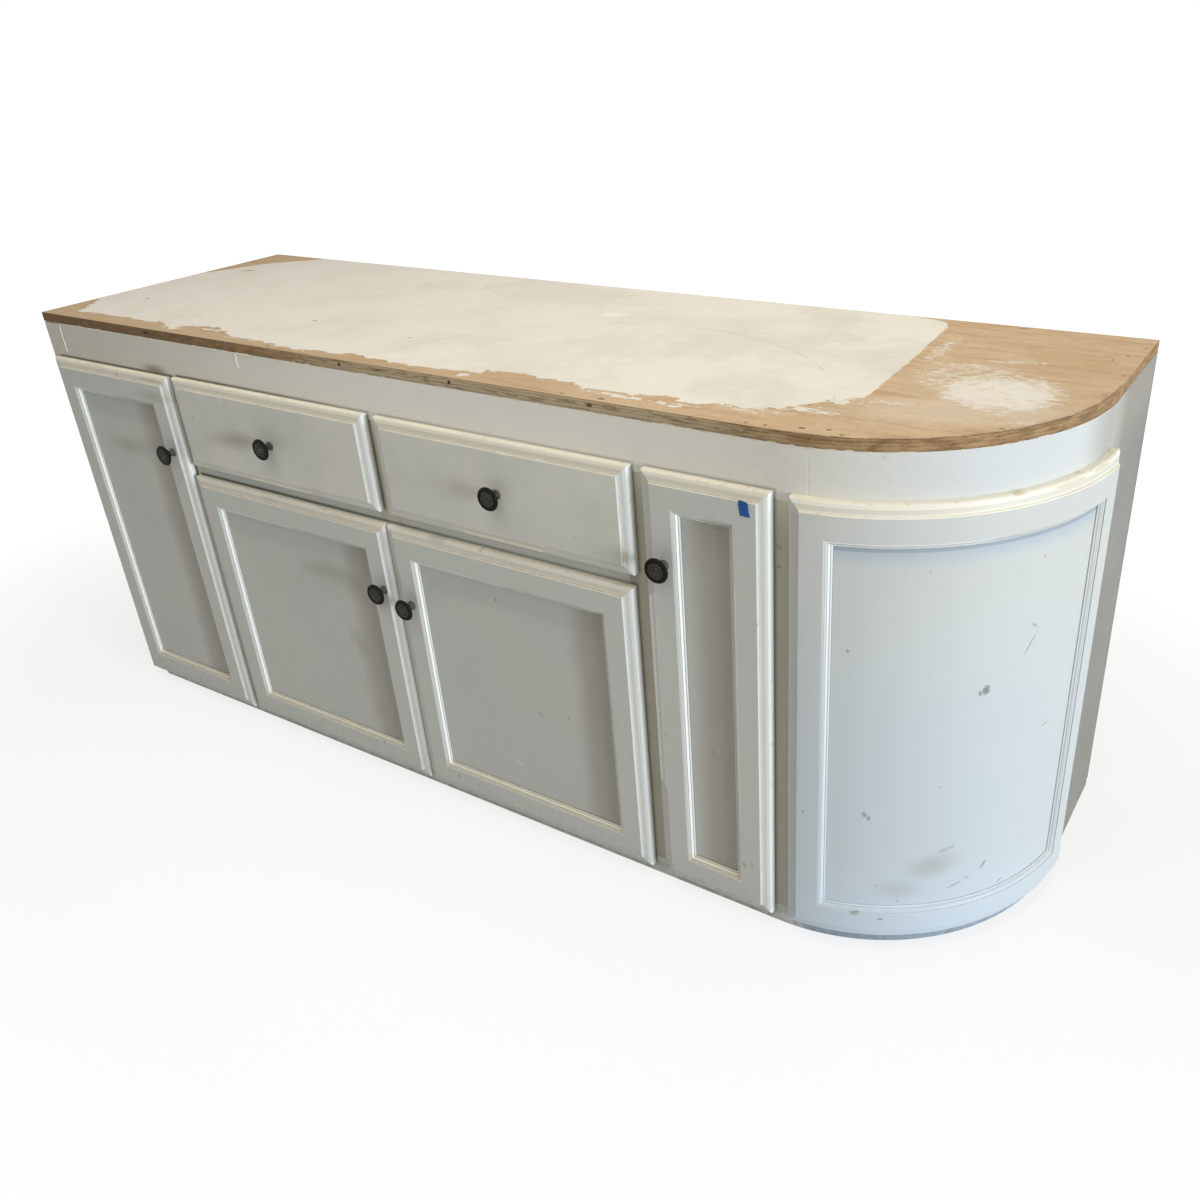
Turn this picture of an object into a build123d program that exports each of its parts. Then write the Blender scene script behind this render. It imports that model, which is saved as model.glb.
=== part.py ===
from build123d import *
import math
import os

# Driving dimensions in millimetres. X runs along the front from the left end,
# Y runs from the face of the frame to the back, and Z runs up from the floor.

# Cabinet box
BOX_HEIGHT = 858.0
BOX_DEPTH = 620.0
CORNER_RADIUS = 355.0
TOP_THICKNESS = 18.0
BOARD = 18.0
BACK_THICKNESS = 6.0
SKIN_THICKNESS = 6.0

# Face frame
FRAME_THICKNESS = 19.0
LEFT_STILE_WIDTH = 51.5
LEFT_STILE_LIFT = 14.0
LEFT_STILE_DROP = 2.0
SEAM_ARC = 42.5
OVERLAY = 13.0

# Fronts, from left to right
FRONT_THICKNESS = 19.0
FRONT_STANDOFF = 2.0
TOP_REVEAL = 68.0
BOTTOM_REVEAL = 23.0
DOOR_1_REVEAL = 22.5
DOOR_1_WIDTH = 377.0
DOOR_1_SAG = 3.0
STILE_1_GAP = 13.0
LOWER_DOOR_WIDTH = 531.0
LOWER_DOOR_GAP = 4.0
STILE_3_GAP = 29.0
DOOR_4_WIDTH = 211.0
DOOR_4_TO_CURVE = 7.0
DRAWER_INSET = 3.0
DRAWER_OVERHANG = 6.0
DRAWER_GAP = 25.0
DRAWER_HEIGHT = 181.0
DRAWER_TO_DOOR = 23.0
CURVED_PANEL_START = 21.0
CURVED_PANEL_END = 6.5
CURVED_PANEL_SEAT = 0.3

# Moulded outer edge of every front
ROUND = 4.5
SLOPE_WIDTH = 11.5
SLOPE_RISE = 2.5
QUIRK = 1.0
BEAD = 2.0

# Framed panels
MEMBER_WIDTH = 55.0
STICK_STEP = 1.5
STICK_SHELF = 1.0
STICK_ROUND = 5.0
STICK_FLAT = 2.0
STICK_BEAD = 1.5
STICK_FOOT = 1.0
PANEL_THICKNESS = 6.0
PANEL_PLAY = 0.2
GROOVE_DEPTH = 6.0
PANEL_REACH = 5.0

# Knobs
KNOB_RADIUS = 20.5
KNOB_PROJECTION = 25.0
KNOB_RIM = 4.0
KNOB_RIM_EDGE = 1.0
KNOB_RIM_BEVEL = 1.5
KNOB_BOWL_RADIUS = 14.0
KNOB_BOWL = 5.5
KNOB_NECK_RADIUS = 5.5
KNOB_FOOT_RADIUS = 8.5
KNOB_FOOT = 2.5
KNOB_NECK = 11.0
KNOB_GROOVES = (15.2, 8.0)
KNOB_GROOVE = 0.7
KNOB_GROOVE_HALF = 0.9
KNOB_BUTTON_RADIUS = 3.7
KNOB_SCREW_RADIUS = 2.0
KNOB_SCREW_BITE = 8.0
KNOB_HEAD_RADIUS = 4.0
KNOB_HEAD = 1.6
KNOB_INSET = 37.0
DOOR_1_KNOB_INSET = 32.0
DOOR_2_KNOB_INSET = 26.0
DOOR_1_KNOB_DROP = 155.0
DOOR_2_KNOB_DROP = 135.0
DOOR_3_KNOB_DROP = 151.0
DOOR_4_KNOB_DROP = 145.0
DRAWER_1_KNOB_DROP = 95.0
DRAWER_2_KNOB_DROP = 90.0
DRAWER_KNOB_SHIFT = 5.0

# Concealed hinges
CUP_RADIUS = 17.5
CUP_DEPTH = 10.5
CUP_WALL = 1.2
CUP_REACH = 9.0
FLANGE_HEIGHT = 60.0
FLANGE_WIDTH = 16.0
FLANGE_THICKNESS = 1.5
HINGE_PLATE_HEIGHT = 40.0
HINGE_PLATE_THICKNESS = 4.0
HINGE_PLATE_MARGIN = 2.0
HINGE_ARM_HEIGHT = 12.0
HINGE_ARM_WIDTH = 8.0
HINGE_END_DISTANCE = 95.0

# Drawers and their runners
DRAWER_DEPTH = 480.0
DRAWER_BOX_HEIGHT = 110.0
DRAWER_LIFT = 8.0
DRAWER_WALL = 12.0
DRAWER_BOTTOM = 6.0
DRAWER_BOTTOM_LIFT = 8.0
DRAWER_GROOVE = 5.0
DRAWER_BOTTOM_PLAY = 1.0
RUNNER_SPACE = 13.0
CHANNEL_HEIGHT = 45.0
CHANNEL_WIDTH = 9.5
CHANNEL_WALL = 1.5
CHANNEL_START = 3.0
DRAWER_TRAVEL = 380.0
CHANNEL_OVERLAP = 85.0

# Inside the box
TALL_SHELF_HEIGHT = 420.0
LOW_SHELF_HEIGHT = 300.0
SHELF_SETBACK = 30.0
SHELF_BACK_GAP = 8.0
SHELF_PLAY = 1.0
PIN_RADIUS = 2.5
PIN_STICKOUT = 9.0
PIN_DEPTH = 7.0
PIN_INSET = 50.0
RIB_WIDTH = 70.0
RIB_HEIGHTS = (240.0, 500.0)
BEARER_WIDTH = 60.0
BEARER_SETBACK = 6.0
CURVE_BEARER_LENGTH = 250.0

# Nails of the top
NAIL_RADIUS = 1.5
NAIL_LENGTH = 45.0
NAIL_HEAD_RADIUS = 3.5
NAIL_HEAD = 1.0
NAIL_MARGIN = 110.0
FRONT_NAILS = 6
CURVE_NAILS = 3

# Clearances
SEAT = 0.3
BORE_PLAY = 0.1
OVERCUT = 1.0


class Front:
    """A door or drawer front: its place on the face, its hinge side and its knob."""

    def __init__(self, name, left, width, low, high, knob_drop, hinge=0, knob_inset=None):
        self.name = name
        self.x = (left, left + width)
        self.z = (low, high)
        self.hinge = hinge
        self.hinge_edge = self.x[0] if hinge > 0 else self.x[1]
        free_edge = self.x[1] if hinge > 0 else self.x[0]
        centred = (self.x[0] + self.x[1]) / 2 + DRAWER_KNOB_SHIFT
        knob_x = centred if knob_inset is None else free_edge - hinge * knob_inset
        self.knob = (knob_x, high - knob_drop)


# Fronts, worked out from the driving dimensions
front_low = BOTTOM_REVEAL
front_high = BOX_HEIGHT - TOP_REVEAL
drawer_low = front_high - DRAWER_HEIGHT
lower_high = drawer_low - DRAWER_TO_DOOR
pair_left = DOOR_1_REVEAL + DOOR_1_WIDTH + STILE_1_GAP
door_3_left = pair_left + LOWER_DOOR_WIDTH + LOWER_DOOR_GAP
door_4_left = door_3_left + LOWER_DOOR_WIDTH + STILE_3_GAP
drawer_row = (pair_left + DRAWER_INSET, door_3_left + LOWER_DOOR_WIDTH + DRAWER_OVERHANG)
drawer_width = (drawer_row[1] - drawer_row[0] - DRAWER_GAP) / 2

door_1 = Front("door_1", DOOR_1_REVEAL, DOOR_1_WIDTH, front_low - DOOR_1_SAG, front_high - DOOR_1_SAG,
               DOOR_1_KNOB_DROP, hinge=1, knob_inset=DOOR_1_KNOB_INSET)
door_2 = Front("door_2", pair_left, LOWER_DOOR_WIDTH, front_low, lower_high,
               DOOR_2_KNOB_DROP, hinge=1, knob_inset=DOOR_2_KNOB_INSET)
door_3 = Front("door_3", door_3_left, LOWER_DOOR_WIDTH, front_low, lower_high,
               DOOR_3_KNOB_DROP, hinge=-1, knob_inset=KNOB_INSET)
door_4 = Front("door_4", door_4_left, DOOR_4_WIDTH, front_low, front_high,
               DOOR_4_KNOB_DROP, hinge=-1, knob_inset=KNOB_INSET)
drawer_1 = Front("drawer_1", drawer_row[0], drawer_width, drawer_low, front_high, DRAWER_1_KNOB_DROP)
drawer_2 = Front("drawer_2", drawer_row[1] - drawer_width, drawer_width, drawer_low, front_high,
                 DRAWER_2_KNOB_DROP)

# Corner, frame openings, partitions and bays, worked out in the same way
corner_x = door_4.x[1] + DOOR_4_TO_CURVE
corner_y = CORNER_RADIUS
length = corner_x + CORNER_RADIUS
seam_angle = SEAM_ARC / CORNER_RADIUS
quarter_turn = math.pi / 2

opening_low = front_low + OVERLAY
opening_high = front_high - OVERLAY
mid_rail = (lower_high - OVERLAY, drawer_low + OVERLAY)
opening_1 = (LEFT_STILE_WIDTH, door_1.x[1] - OVERLAY)
opening_2 = (door_2.x[0] + OVERLAY, drawer_1.x[1] - OVERLAY)
opening_3 = (drawer_2.x[0] + OVERLAY, door_3.x[1] - OVERLAY)
opening_4 = (door_4.x[0] + OVERLAY, door_4.x[1] - OVERLAY)
stile_1 = (opening_1[1], opening_2[0])
centre_stile = (opening_2[1], opening_3[0])
stile_3 = (opening_3[1], opening_4[0])

stile_middles = [(low + high) / 2 for low, high in (stile_1, centre_stile, stile_3)]
partitions = [(middle - BOARD / 2, middle + BOARD / 2) for middle in stile_middles]
partitions.append((corner_x - BOARD, corner_x))
bay_sides = [(0.0, BOARD)] + partitions
bays = [(near[1], far[0]) for near, far in zip(bay_sides, bay_sides[1:])]
shelf_heights = (TALL_SHELF_HEIGHT, LOW_SHELF_HEIGHT, LOW_SHELF_HEIGHT, TALL_SHELF_HEIGHT)
inside_back = BOX_DEPTH - BACK_THICKNESS
deck_low = opening_low - BOARD
shelf_span = (FRAME_THICKNESS + SHELF_SETBACK, inside_back - SHELF_BACK_GAP)

# Levels inside a front, measured forward from its back face
panel_front = FRONT_THICKNESS - STICK_STEP - STICK_ROUND - STICK_BEAD - STICK_FOOT
panel_back = panel_front - PANEL_THICKNESS
stick_width = STICK_SHELF + STICK_ROUND + STICK_FLAT + STICK_BEAD
curved_back_radius = CORNER_RADIUS + CURVED_PANEL_SEAT
curved_face_radius = curved_back_radius + FRONT_THICKNESS
curved_panel_arc = (CURVED_PANEL_START, curved_face_radius * quarter_turn - CURVED_PANEL_END)

# Drawer box levels
drawer_box_low = mid_rail[1] + DRAWER_LIFT
drawer_box = (drawer_box_low, drawer_box_low + DRAWER_BOX_HEIGHT)
drawer_bottom_low = drawer_box_low + DRAWER_BOTTOM_LIFT
drawer_bottom = (drawer_bottom_low, drawer_bottom_low + DRAWER_BOTTOM)
drawer_span = (-FRONT_STANDOFF, DRAWER_DEPTH - FRONT_STANDOFF)
channel_middle = (drawer_box[0] + drawer_box[1]) / 2
channel_levels = (channel_middle - CHANNEL_HEIGHT / 2, channel_middle + CHANNEL_HEIGHT / 2)
channel_span = (CHANNEL_START, CHANNEL_START + DRAWER_TRAVEL + CHANNEL_OVERLAP)


def grown(pair, margin):
    """The pair's range, wider by the margin at both ends."""
    return (pair[0] - margin, pair[1] + margin)


def evenly(low, high, count):
    """Evenly spaced values from low to high."""
    return [low + (high - low) * step / (count - 1) for step in range(count)]


def block(x, y, z):
    """Box between the low and high values along each axis."""
    middle = [(min(pair) + max(pair)) / 2 for pair in (x, y, z)]
    size = [abs(pair[1] - pair[0]) for pair in (x, y, z)]
    return Pos(*middle) * Box(*size)


def rod(centre, radius, y):
    """Round bar along Y, with its centre given as X and Z."""
    upright = Cylinder(radius, y[1] - y[0], align=(Align.CENTER, Align.CENTER, Align.MIN))
    return Pos(centre[0], y[0], centre[1]) * Rot(-90, 0, 0) * upright


def on_corner(radius, angle):
    """Plan point on a circle about the corner's axis, with the angle from its front point."""
    return (corner_x + radius * math.sin(angle), corner_y - radius * math.cos(angle))


def ring_sector(radii, angles, z):
    """Upright curved wall between two radii and two angles about the corner's axis."""
    stops = (angles[0], (angles[0] + angles[1]) / 2, angles[1])
    rims = [ThreePointArc(*[on_corner(radius, angle) for angle in stops]) for radius in radii]
    ends = [Line(on_corner(radii[0], angle), on_corner(radii[1], angle)) for angle in angles]
    return extrude(Pos(0, 0, z[0]) * make_face(rims + ends), z[1] - z[0], dir=(0, 0, 1))


def rounded_board(left, y, radius, z):
    """Board with a quarter-round front right corner about the corner's axis."""
    front, back = y
    bend = [(corner_x + radius * math.sin(angle), corner_y - radius * math.cos(angle))
            for angle in (0, quarter_turn / 2, quarter_turn)]
    sides = Polyline(bend[2], (bend[2][0], back), (left, back), (left, front), bend[0])
    outline = make_face(sides.edges() + [ThreePointArc(*bend)])
    return extrude(Pos(0, 0, z[0]) * outline, z[1] - z[0], dir=(0, 0, 1))


def trace(place, moves):
    """Lines through the moves, and quarter rounds where a move gives a centre."""
    curves = []
    start = moves[0][0]
    for end, centre in moves[1:]:
        if centre is None:
            curves.append(Line(place(*start), place(*end)))
        else:
            middle = [c + (s - c + e - c) * math.cos(math.pi / 4) for s, e, c in zip(start, end, centre)]
            curves.append(ThreePointArc(place(*start), place(*middle), place(*end)))
        start = end
    return curves


def edge_moves():
    """Outer moulding as inset and depth: lip, round-over, shallow slope, quirk and bead."""
    lip = FRONT_THICKNESS - ROUND - SLOPE_RISE - QUIRK - BEAD
    shoulder = (ROUND, lip + ROUND)
    slope_end = (ROUND + SLOPE_WIDTH, shoulder[1] + SLOPE_RISE)
    bead_start = (slope_end[0], slope_end[1] + QUIRK)
    bead_end = (slope_end[0] + BEAD, FRONT_THICKNESS)
    return [((0, 0), None), ((0, lip), None), (shoulder, (ROUND, lip)), (slope_end, None),
            (bead_start, None), (bead_end, (bead_end[0], bead_start[1]))]


def sticking_moves():
    """Inner moulding of a framed front, from over its face down through its back."""
    shelf = (STICK_SHELF, FRONT_THICKNESS - STICK_STEP)
    round_end = (shelf[0] + STICK_ROUND, shelf[1] - STICK_ROUND)
    flat_end = (round_end[0] + STICK_FLAT, round_end[1])
    foot = (stick_width, round_end[1] - STICK_BEAD)
    return [((0, FRONT_THICKNESS + OVERCUT), None), ((0, shelf[1]), None), (shelf, None),
            (round_end, (shelf[0], round_end[1])), (flat_end, None),
            (foot, (flat_end[0], foot[1])), ((stick_width, -OVERCUT), None)]


def straight(place, low, high, depth):
    """Straight line at one depth."""
    return Line(place(low, depth), place(high, depth))


def bent(place, low, high, depth):
    """Arc at one depth."""
    return ThreePointArc(place(low, depth), place((low + high) / 2, depth), place(high, depth))


def section(low, high, place, moves, bridge):
    """Closed face between low and high, with the same moulding at both ends."""
    curves = trace(lambda inset, depth: place(low + inset, depth), moves)
    curves += trace(lambda inset, depth: place(high - inset, depth), moves)
    for inset, depth in (moves[0][0], moves[-1][0]):
        curves.append(bridge(place, low + inset, high - inset, depth))
    return make_face(curves)


def flat_moulded(x, z, moves):
    """Flat slab or hollow whose mouldings meet in mitres: one prism crossed with another."""
    wide = section(*x, lambda along, depth: (along, -FRONT_STANDOFF - depth, z[0]), moves, straight)
    tall = section(*z, lambda along, depth: (x[0], -FRONT_STANDOFF - depth, along), moves, straight)
    return extrude(wide, z[1] - z[0], dir=(0, 0, 1)) & extrude(tall, x[1] - x[0], dir=(1, 0, 0))


def flat_plain(x, z, depth):
    """Flat block in a front, between two depths."""
    return block(x, (-FRONT_STANDOFF - depth[1], -FRONT_STANDOFF - depth[0]), z)


def on_curved_panel(along, depth):
    """Plan point in the curved front, with its place along the front face."""
    return on_corner(curved_back_radius + depth, along / curved_face_radius)


def curved_moulded(arc, z, moves):
    """Curved slab or hollow whose mouldings meet in mitres."""
    wide = section(*arc, lambda along, depth: (*on_curved_panel(along, depth), z[0]), moves, bent)
    tall = section(*z, lambda along, depth: (corner_x, corner_y - curved_back_radius - depth, along),
                   moves, straight)
    turned = revolve(tall, Axis((corner_x, corner_y, 0), (0, 0, 1)), 90)
    return extrude(wide, z[1] - z[0], dir=(0, 0, 1)) & turned


def curved_plain(arc, z, depth):
    """Curved block in the curved front, between two depths."""
    radii = [curved_back_radius + level for level in depth]
    return ring_sector(radii, [along / curved_face_radius for along in arc], z)


def framed_front(across, upright, moulded, plain):
    """Stiles, rails and panel of a framed front, flat or curved as its two makers are."""
    inner = (grown(across, -MEMBER_WIDTH), grown(upright, -MEMBER_WIDTH))
    hole = [grown(pair, -stick_width) for pair in inner]
    grooves = [grown(pair, GROOVE_DEPTH) for pair in hole]
    panel = [grown(pair, PANEL_REACH) for pair in hole]
    frame = moulded(across, upright, edge_moves()) - moulded(*inner, sticking_moves())
    frame -= plain(*grooves, (panel_back - PANEL_PLAY, panel_front + PANEL_PLAY))
    whole_depth = grown((0, FRONT_THICKNESS), OVERCUT)
    bottom_zone = plain(inner[0], (upright[0] - OVERCUT, hole[1][0]), whole_depth)
    top_zone = plain(inner[0], (hole[1][1], upright[1] + OVERCUT), whole_depth)
    rails = [frame & bottom_zone, frame & top_zone]
    stiles = frame - bottom_zone - top_zone
    return [stiles], rails, [plain(*panel, (panel_back, panel_front))]


def knob(front, grip):
    """Turned knob and its screw, through a grip of the thickness given."""
    face = -FRONT_STANDOFF - FRONT_THICKNESS
    rim = KNOB_PROJECTION - KNOB_RIM
    top = KNOB_PROJECTION - KNOB_GROOVE
    outline = [(0, 0), (KNOB_FOOT_RADIUS, 0), (KNOB_FOOT_RADIUS, KNOB_FOOT / 2),
               (KNOB_NECK_RADIUS, 2 * KNOB_FOOT), (KNOB_NECK_RADIUS, KNOB_NECK),
               (KNOB_BOWL_RADIUS, rim - KNOB_BOWL), (KNOB_RADIUS - KNOB_RIM_EDGE, rim - KNOB_RIM_EDGE),
               (KNOB_RADIUS, rim), (KNOB_RADIUS, rim + KNOB_RIM_EDGE), (KNOB_RADIUS - KNOB_RIM_BEVEL, top)]
    for radius in KNOB_GROOVES:
        outline += [(radius + KNOB_GROOVE_HALF, top), (radius, top - KNOB_GROOVE),
                    (radius - KNOB_GROOVE_HALF, top)]
    outline += [(KNOB_BUTTON_RADIUS, KNOB_PROJECTION), (0, KNOB_PROJECTION)]
    profile = Polyline(*outline, close=True)
    body = revolve(Plane.XZ * make_face(profile.edges()), Axis.Z)
    body = Pos(front.knob[0], face, front.knob[1]) * Rot(90, 0, 0) * body
    screw_span = (face - KNOB_SCREW_BITE, face + grip)
    body -= rod(front.knob, KNOB_SCREW_RADIUS + BORE_PLAY, (screw_span[0], face + OVERCUT))
    screw = rod(front.knob, KNOB_SCREW_RADIUS, (screw_span[0], screw_span[1] + KNOB_HEAD / 2))
    screw += rod(front.knob, KNOB_HEAD_RADIUS, (screw_span[1], screw_span[1] + KNOB_HEAD))
    return [body, screw]


def knob_hole(front, grip):
    """Hole for the knob's screw."""
    face = -FRONT_STANDOFF - FRONT_THICKNESS
    return rod(front.knob, KNOB_SCREW_RADIUS + BORE_PLAY, grown((face, face + grip), OVERCUT))


def hinge_overlay(door):
    """How far a door covers the stile that it hangs on."""
    stile_edges = {"door_1": opening_1[0], "door_2": opening_2[0],
                   "door_3": opening_3[1], "door_4": opening_4[1]}
    return abs(stile_edges[door.name] - door.hinge_edge)


def hinge_heights(door):
    """Heights of a door's two hinges."""
    return (door.z[0] + HINGE_END_DISTANCE, door.z[1] - HINGE_END_DISTANCE)


def from_hinge_edge(door, near, far):
    """Range along X between two distances in from the door's hinge edge."""
    return (door.hinge_edge + door.hinge * near, door.hinge_edge + door.hinge * far)


def cup_bore(door, height):
    """Bore for a hinge cup in the back of a door."""
    centre = (door.hinge_edge + door.hinge * (hinge_overlay(door) + CUP_REACH), height)
    return rod(centre, CUP_RADIUS, (-FRONT_STANDOFF - CUP_DEPTH, -FRONT_STANDOFF + OVERCUT))


def hinge_arm(door, height):
    """Hinge cup with its flange and the arm that reaches back to the plate."""
    overlay = hinge_overlay(door)
    centre = (door.hinge_edge + door.hinge * (overlay + CUP_REACH), height)
    cup_floor = -FRONT_STANDOFF - CUP_DEPTH + BORE_PLAY
    flange_back = -FRONT_STANDOFF + FLANGE_THICKNESS
    cup = rod(centre, CUP_RADIUS - BORE_PLAY, (cup_floor, flange_back))
    flange = block(grown((centre[0], centre[0]), FLANGE_WIDTH / 2), (-FRONT_STANDOFF, flange_back),
                   grown((height, height), FLANGE_HEIGHT / 2))
    dish = rod(centre, CUP_RADIUS - BORE_PLAY - CUP_WALL, (cup_floor + CUP_WALL, flange_back + OVERCUT))
    arm_near = overlay + HINGE_PLATE_THICKNESS + SEAT
    arm = block(from_hinge_edge(door, arm_near, arm_near + HINGE_ARM_WIDTH),
                (cup_floor, FRAME_THICKNESS - HINGE_PLATE_MARGIN),
                grown((height, height), HINGE_ARM_HEIGHT / 2))
    return cup + flange - dish + arm


def hinge_plate(door, height):
    """Hinge plate on the inner edge of the stile."""
    overlay = hinge_overlay(door)
    return block(from_hinge_edge(door, overlay, overlay + HINGE_PLATE_THICKNESS),
                 (HINGE_PLATE_MARGIN, FRAME_THICKNESS - HINGE_PLATE_MARGIN),
                 grown((height, height), HINGE_PLATE_HEIGHT / 2))


def door_nodes(door):
    """Stiles, rails, panel, knob and hinges of one door."""
    stiles, rails, panel = framed_front(door.x, door.z, flat_moulded, flat_plain)
    cuts = [cup_bore(door, height) for height in hinge_heights(door)]
    cuts.append(knob_hole(door, FRONT_THICKNESS))
    for cut in cuts:
        stiles = [stile - cut for stile in stiles]
    return {
        door.name + "_stiles": stiles,
        door.name + "_rails": rails,
        door.name + "_panel": panel,
        door.name + "_knob": knob(door, FRONT_THICKNESS),
        door.name + "_hinges": [hinge_arm(door, height) for height in hinge_heights(door)],
    }


def drawer_nodes(front, opening):
    """Front, box, knob and moving runners of one drawer, shut in its opening."""
    outer = grown(opening, -RUNNER_SPACE)
    inner = grown(outer, -DRAWER_WALL)
    grip = FRONT_THICKNESS + DRAWER_WALL
    near_wall = (drawer_span[0], drawer_span[0] + DRAWER_WALL)
    far_wall = (drawer_span[1] - DRAWER_WALL, drawer_span[1])
    groove = block(grown(inner, DRAWER_GROOVE), (near_wall[1] - DRAWER_GROOVE, drawer_span[1] + OVERCUT),
                   grown(drawer_bottom, PANEL_PLAY))
    bottom_reach = DRAWER_GROOVE - DRAWER_BOTTOM_PLAY
    sides = [block((outer[0], inner[0]), drawer_span, drawer_box) - groove,
             block((inner[1], outer[1]), drawer_span, drawer_box) - groove]
    ends = [block(inner, near_wall, drawer_box) - groove - knob_hole(front, grip),
            block(inner, far_wall, (drawer_bottom[1], drawer_box[1]))]
    member_levels = grown(channel_levels, -CHANNEL_WALL - SEAT)
    member_gap = CHANNEL_WALL + SEAT
    members = [block((opening[0] + member_gap, outer[0]), channel_span, member_levels),
               block((outer[1], opening[1] - member_gap), channel_span, member_levels)]
    return {
        front.name + "_front": [flat_moulded(front.x, front.z, edge_moves()) - knob_hole(front, grip)],
        front.name + "_sides": sides,
        front.name + "_ends": ends,
        front.name + "_bottom": [block(grown(inner, bottom_reach),
                                       (near_wall[1] - bottom_reach, drawer_span[1]), drawer_bottom)],
        front.name + "_runners": members,
        front.name + "_knob": knob(front, grip),
    }


def channel(opening, side):
    """Fixed steel channel on the left (side 0) or right (side 1) of a drawer opening."""
    inward = 1 if side == 0 else -1
    edge = opening[side]
    solid = block((edge, edge + inward * CHANNEL_WIDTH), channel_span, channel_levels)
    hollow = block((edge + inward * CHANNEL_WALL, edge + inward * (CHANNEL_WIDTH + OVERCUT)),
                   grown(channel_span, OVERCUT), grown(channel_levels, -CHANNEL_WALL))
    return solid - hollow


def drawer_support_nodes():
    """Fixed channels, and the wooden packers that bring them out to the frame openings."""
    channels = [channel(opening, side) for opening in (opening_2, opening_3) for side in (0, 1)]
    packer_span = (FRAME_THICKNESS, channel_span[1])
    gaps = ((bays[1][0], opening_2[0]), (opening_2[1], bays[1][1]),
            (bays[2][0], opening_3[0]), (opening_3[1], bays[2][1]))
    packers = [block(gap, packer_span, channel_levels) for gap in gaps]
    return {"drawer_channels": channels, "drawer_packers": packers}


def front_strip(left, z):
    """Strip of the face frame from left to the seam, round the start of the curve."""
    flat = block((left, corner_x), (0, FRAME_THICKNESS), z)
    return flat + ring_sector((CORNER_RADIUS - FRAME_THICKNESS, CORNER_RADIUS), (0, seam_angle), z)


def nail_places():
    """Plan points of the top's nails, over the rail, the sides and the partitions."""
    row = FRAME_THICKNESS / 2
    front = [(x, row) for x in evenly(NAIL_MARGIN, corner_x - NAIL_MARGIN / 2, FRONT_NAILS)]
    angles = evenly(2 * seam_angle, quarter_turn - seam_angle, CURVE_NAILS)
    curve = [on_corner(CORNER_RADIUS - row, angle) for angle in angles]
    middles = [(low + high) / 2 for low, high in bay_sides]
    boards = [(x, y) for x in middles for y in (NAIL_MARGIN, BOX_DEPTH - NAIL_MARGIN)]
    right = [(length - BOARD / 2, y) for y in (corner_y + NAIL_MARGIN / 2, BOX_DEPTH - NAIL_MARGIN / 2)]
    return front + curve + boards + right


def nail(place, play=0.0):
    """Nail at a plan point, with its head flush in the top, or its hole if play is given."""
    top = BOX_HEIGHT + TOP_THICKNESS
    down = (Align.CENTER, Align.CENTER, Align.MAX)
    shank = Cylinder(NAIL_RADIUS + play, NAIL_LENGTH + play, align=down)
    head = Cylinder(NAIL_HEAD_RADIUS + play, NAIL_HEAD, align=down)
    return Pos(place[0], place[1], top) * (shank + head)


def nailed(shape):
    """The shape with the nail holes that reach into it."""
    box = shape.bounding_box()
    for x, y in nail_places():
        if box.min.X < x < box.max.X and box.min.Y < y < box.max.Y:
            shape -= nail((x, y), BORE_PLAY)
    return shape


def frame_nodes():
    """Stiles and rails of the face frame."""
    levels = (opening_low, opening_high)
    thickness = (0, FRAME_THICKNESS)
    return {
        "frame_left_stile": [block((0, LEFT_STILE_WIDTH), thickness,
                                   (LEFT_STILE_LIFT, BOX_HEIGHT - LEFT_STILE_DROP))],
        "frame_top_rail": [nailed(front_strip(LEFT_STILE_WIDTH, (opening_high, BOX_HEIGHT)))],
        "frame_bottom_rail": [front_strip(LEFT_STILE_WIDTH, (0, opening_low))],
        "frame_stile_1": [block(stile_1, thickness, levels)],
        "frame_centre_stile": [block(centre_stile, thickness, levels)],
        "frame_stile_3": [block(stile_3, thickness, levels)],
        "frame_end_stile": [front_strip(opening_4[1], levels)],
        "frame_mid_rails": [block(opening_2, thickness, mid_rail), block(opening_3, thickness, mid_rail)],
    }


def curved_end_nodes():
    """Rails, skin, ribs and framed panel of the curved end."""
    turn = (seam_angle, quarter_turn)
    rail_radii = (CORNER_RADIUS - FRAME_THICKNESS, CORNER_RADIUS)
    skin_radii = (CORNER_RADIUS - SKIN_THICKNESS, CORNER_RADIUS)
    rib_outer = skin_radii[0] - SEAT
    rib_start = FRAME_THICKNESS / CORNER_RADIUS + seam_angle
    levels = (front_low, front_high)
    stiles, rails, panel = framed_front(curved_panel_arc, levels, curved_moulded, curved_plain)
    return {
        "curved_top_rail": [nailed(ring_sector(rail_radii, turn, (opening_high, BOX_HEIGHT)))],
        "curved_bottom_rail": [ring_sector(rail_radii, turn, (0, opening_low))],
        "curved_skin": [ring_sector(skin_radii, turn, (opening_low, opening_high))],
        "curved_ribs": [ring_sector((rib_outer - RIB_WIDTH, rib_outer), (rib_start, quarter_turn),
                                    (height, height + BOARD)) for height in RIB_HEIGHTS],
        "curved_panel_stiles": stiles,
        "curved_panel_rails": rails,
        "curved_panel_board": panel,
    }


def shelf_pin(face, inward, y, height, play=0.0):
    """Shelf pin in a board's face, pointing inward, or its hole if play is given."""
    reach = (face - inward * (PIN_DEPTH + play), face + inward * PIN_STICKOUT)
    middle = (reach[0] + reach[1]) / 2
    span = abs(reach[1] - reach[0])
    return Pos(middle, y, height - SEAT - PIN_RADIUS) * Rot(0, 90, 0) * Cylinder(PIN_RADIUS + play, span)


def shelf_pin_places():
    """Face, inward direction, depth and height of every shelf pin."""
    rows = grown(shelf_span, -PIN_INSET)
    return [(face, inward, y, height) for bay, height in zip(bays, shelf_heights)
            for face, inward in ((bay[0], 1), (bay[1], -1)) for y in rows]


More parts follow.
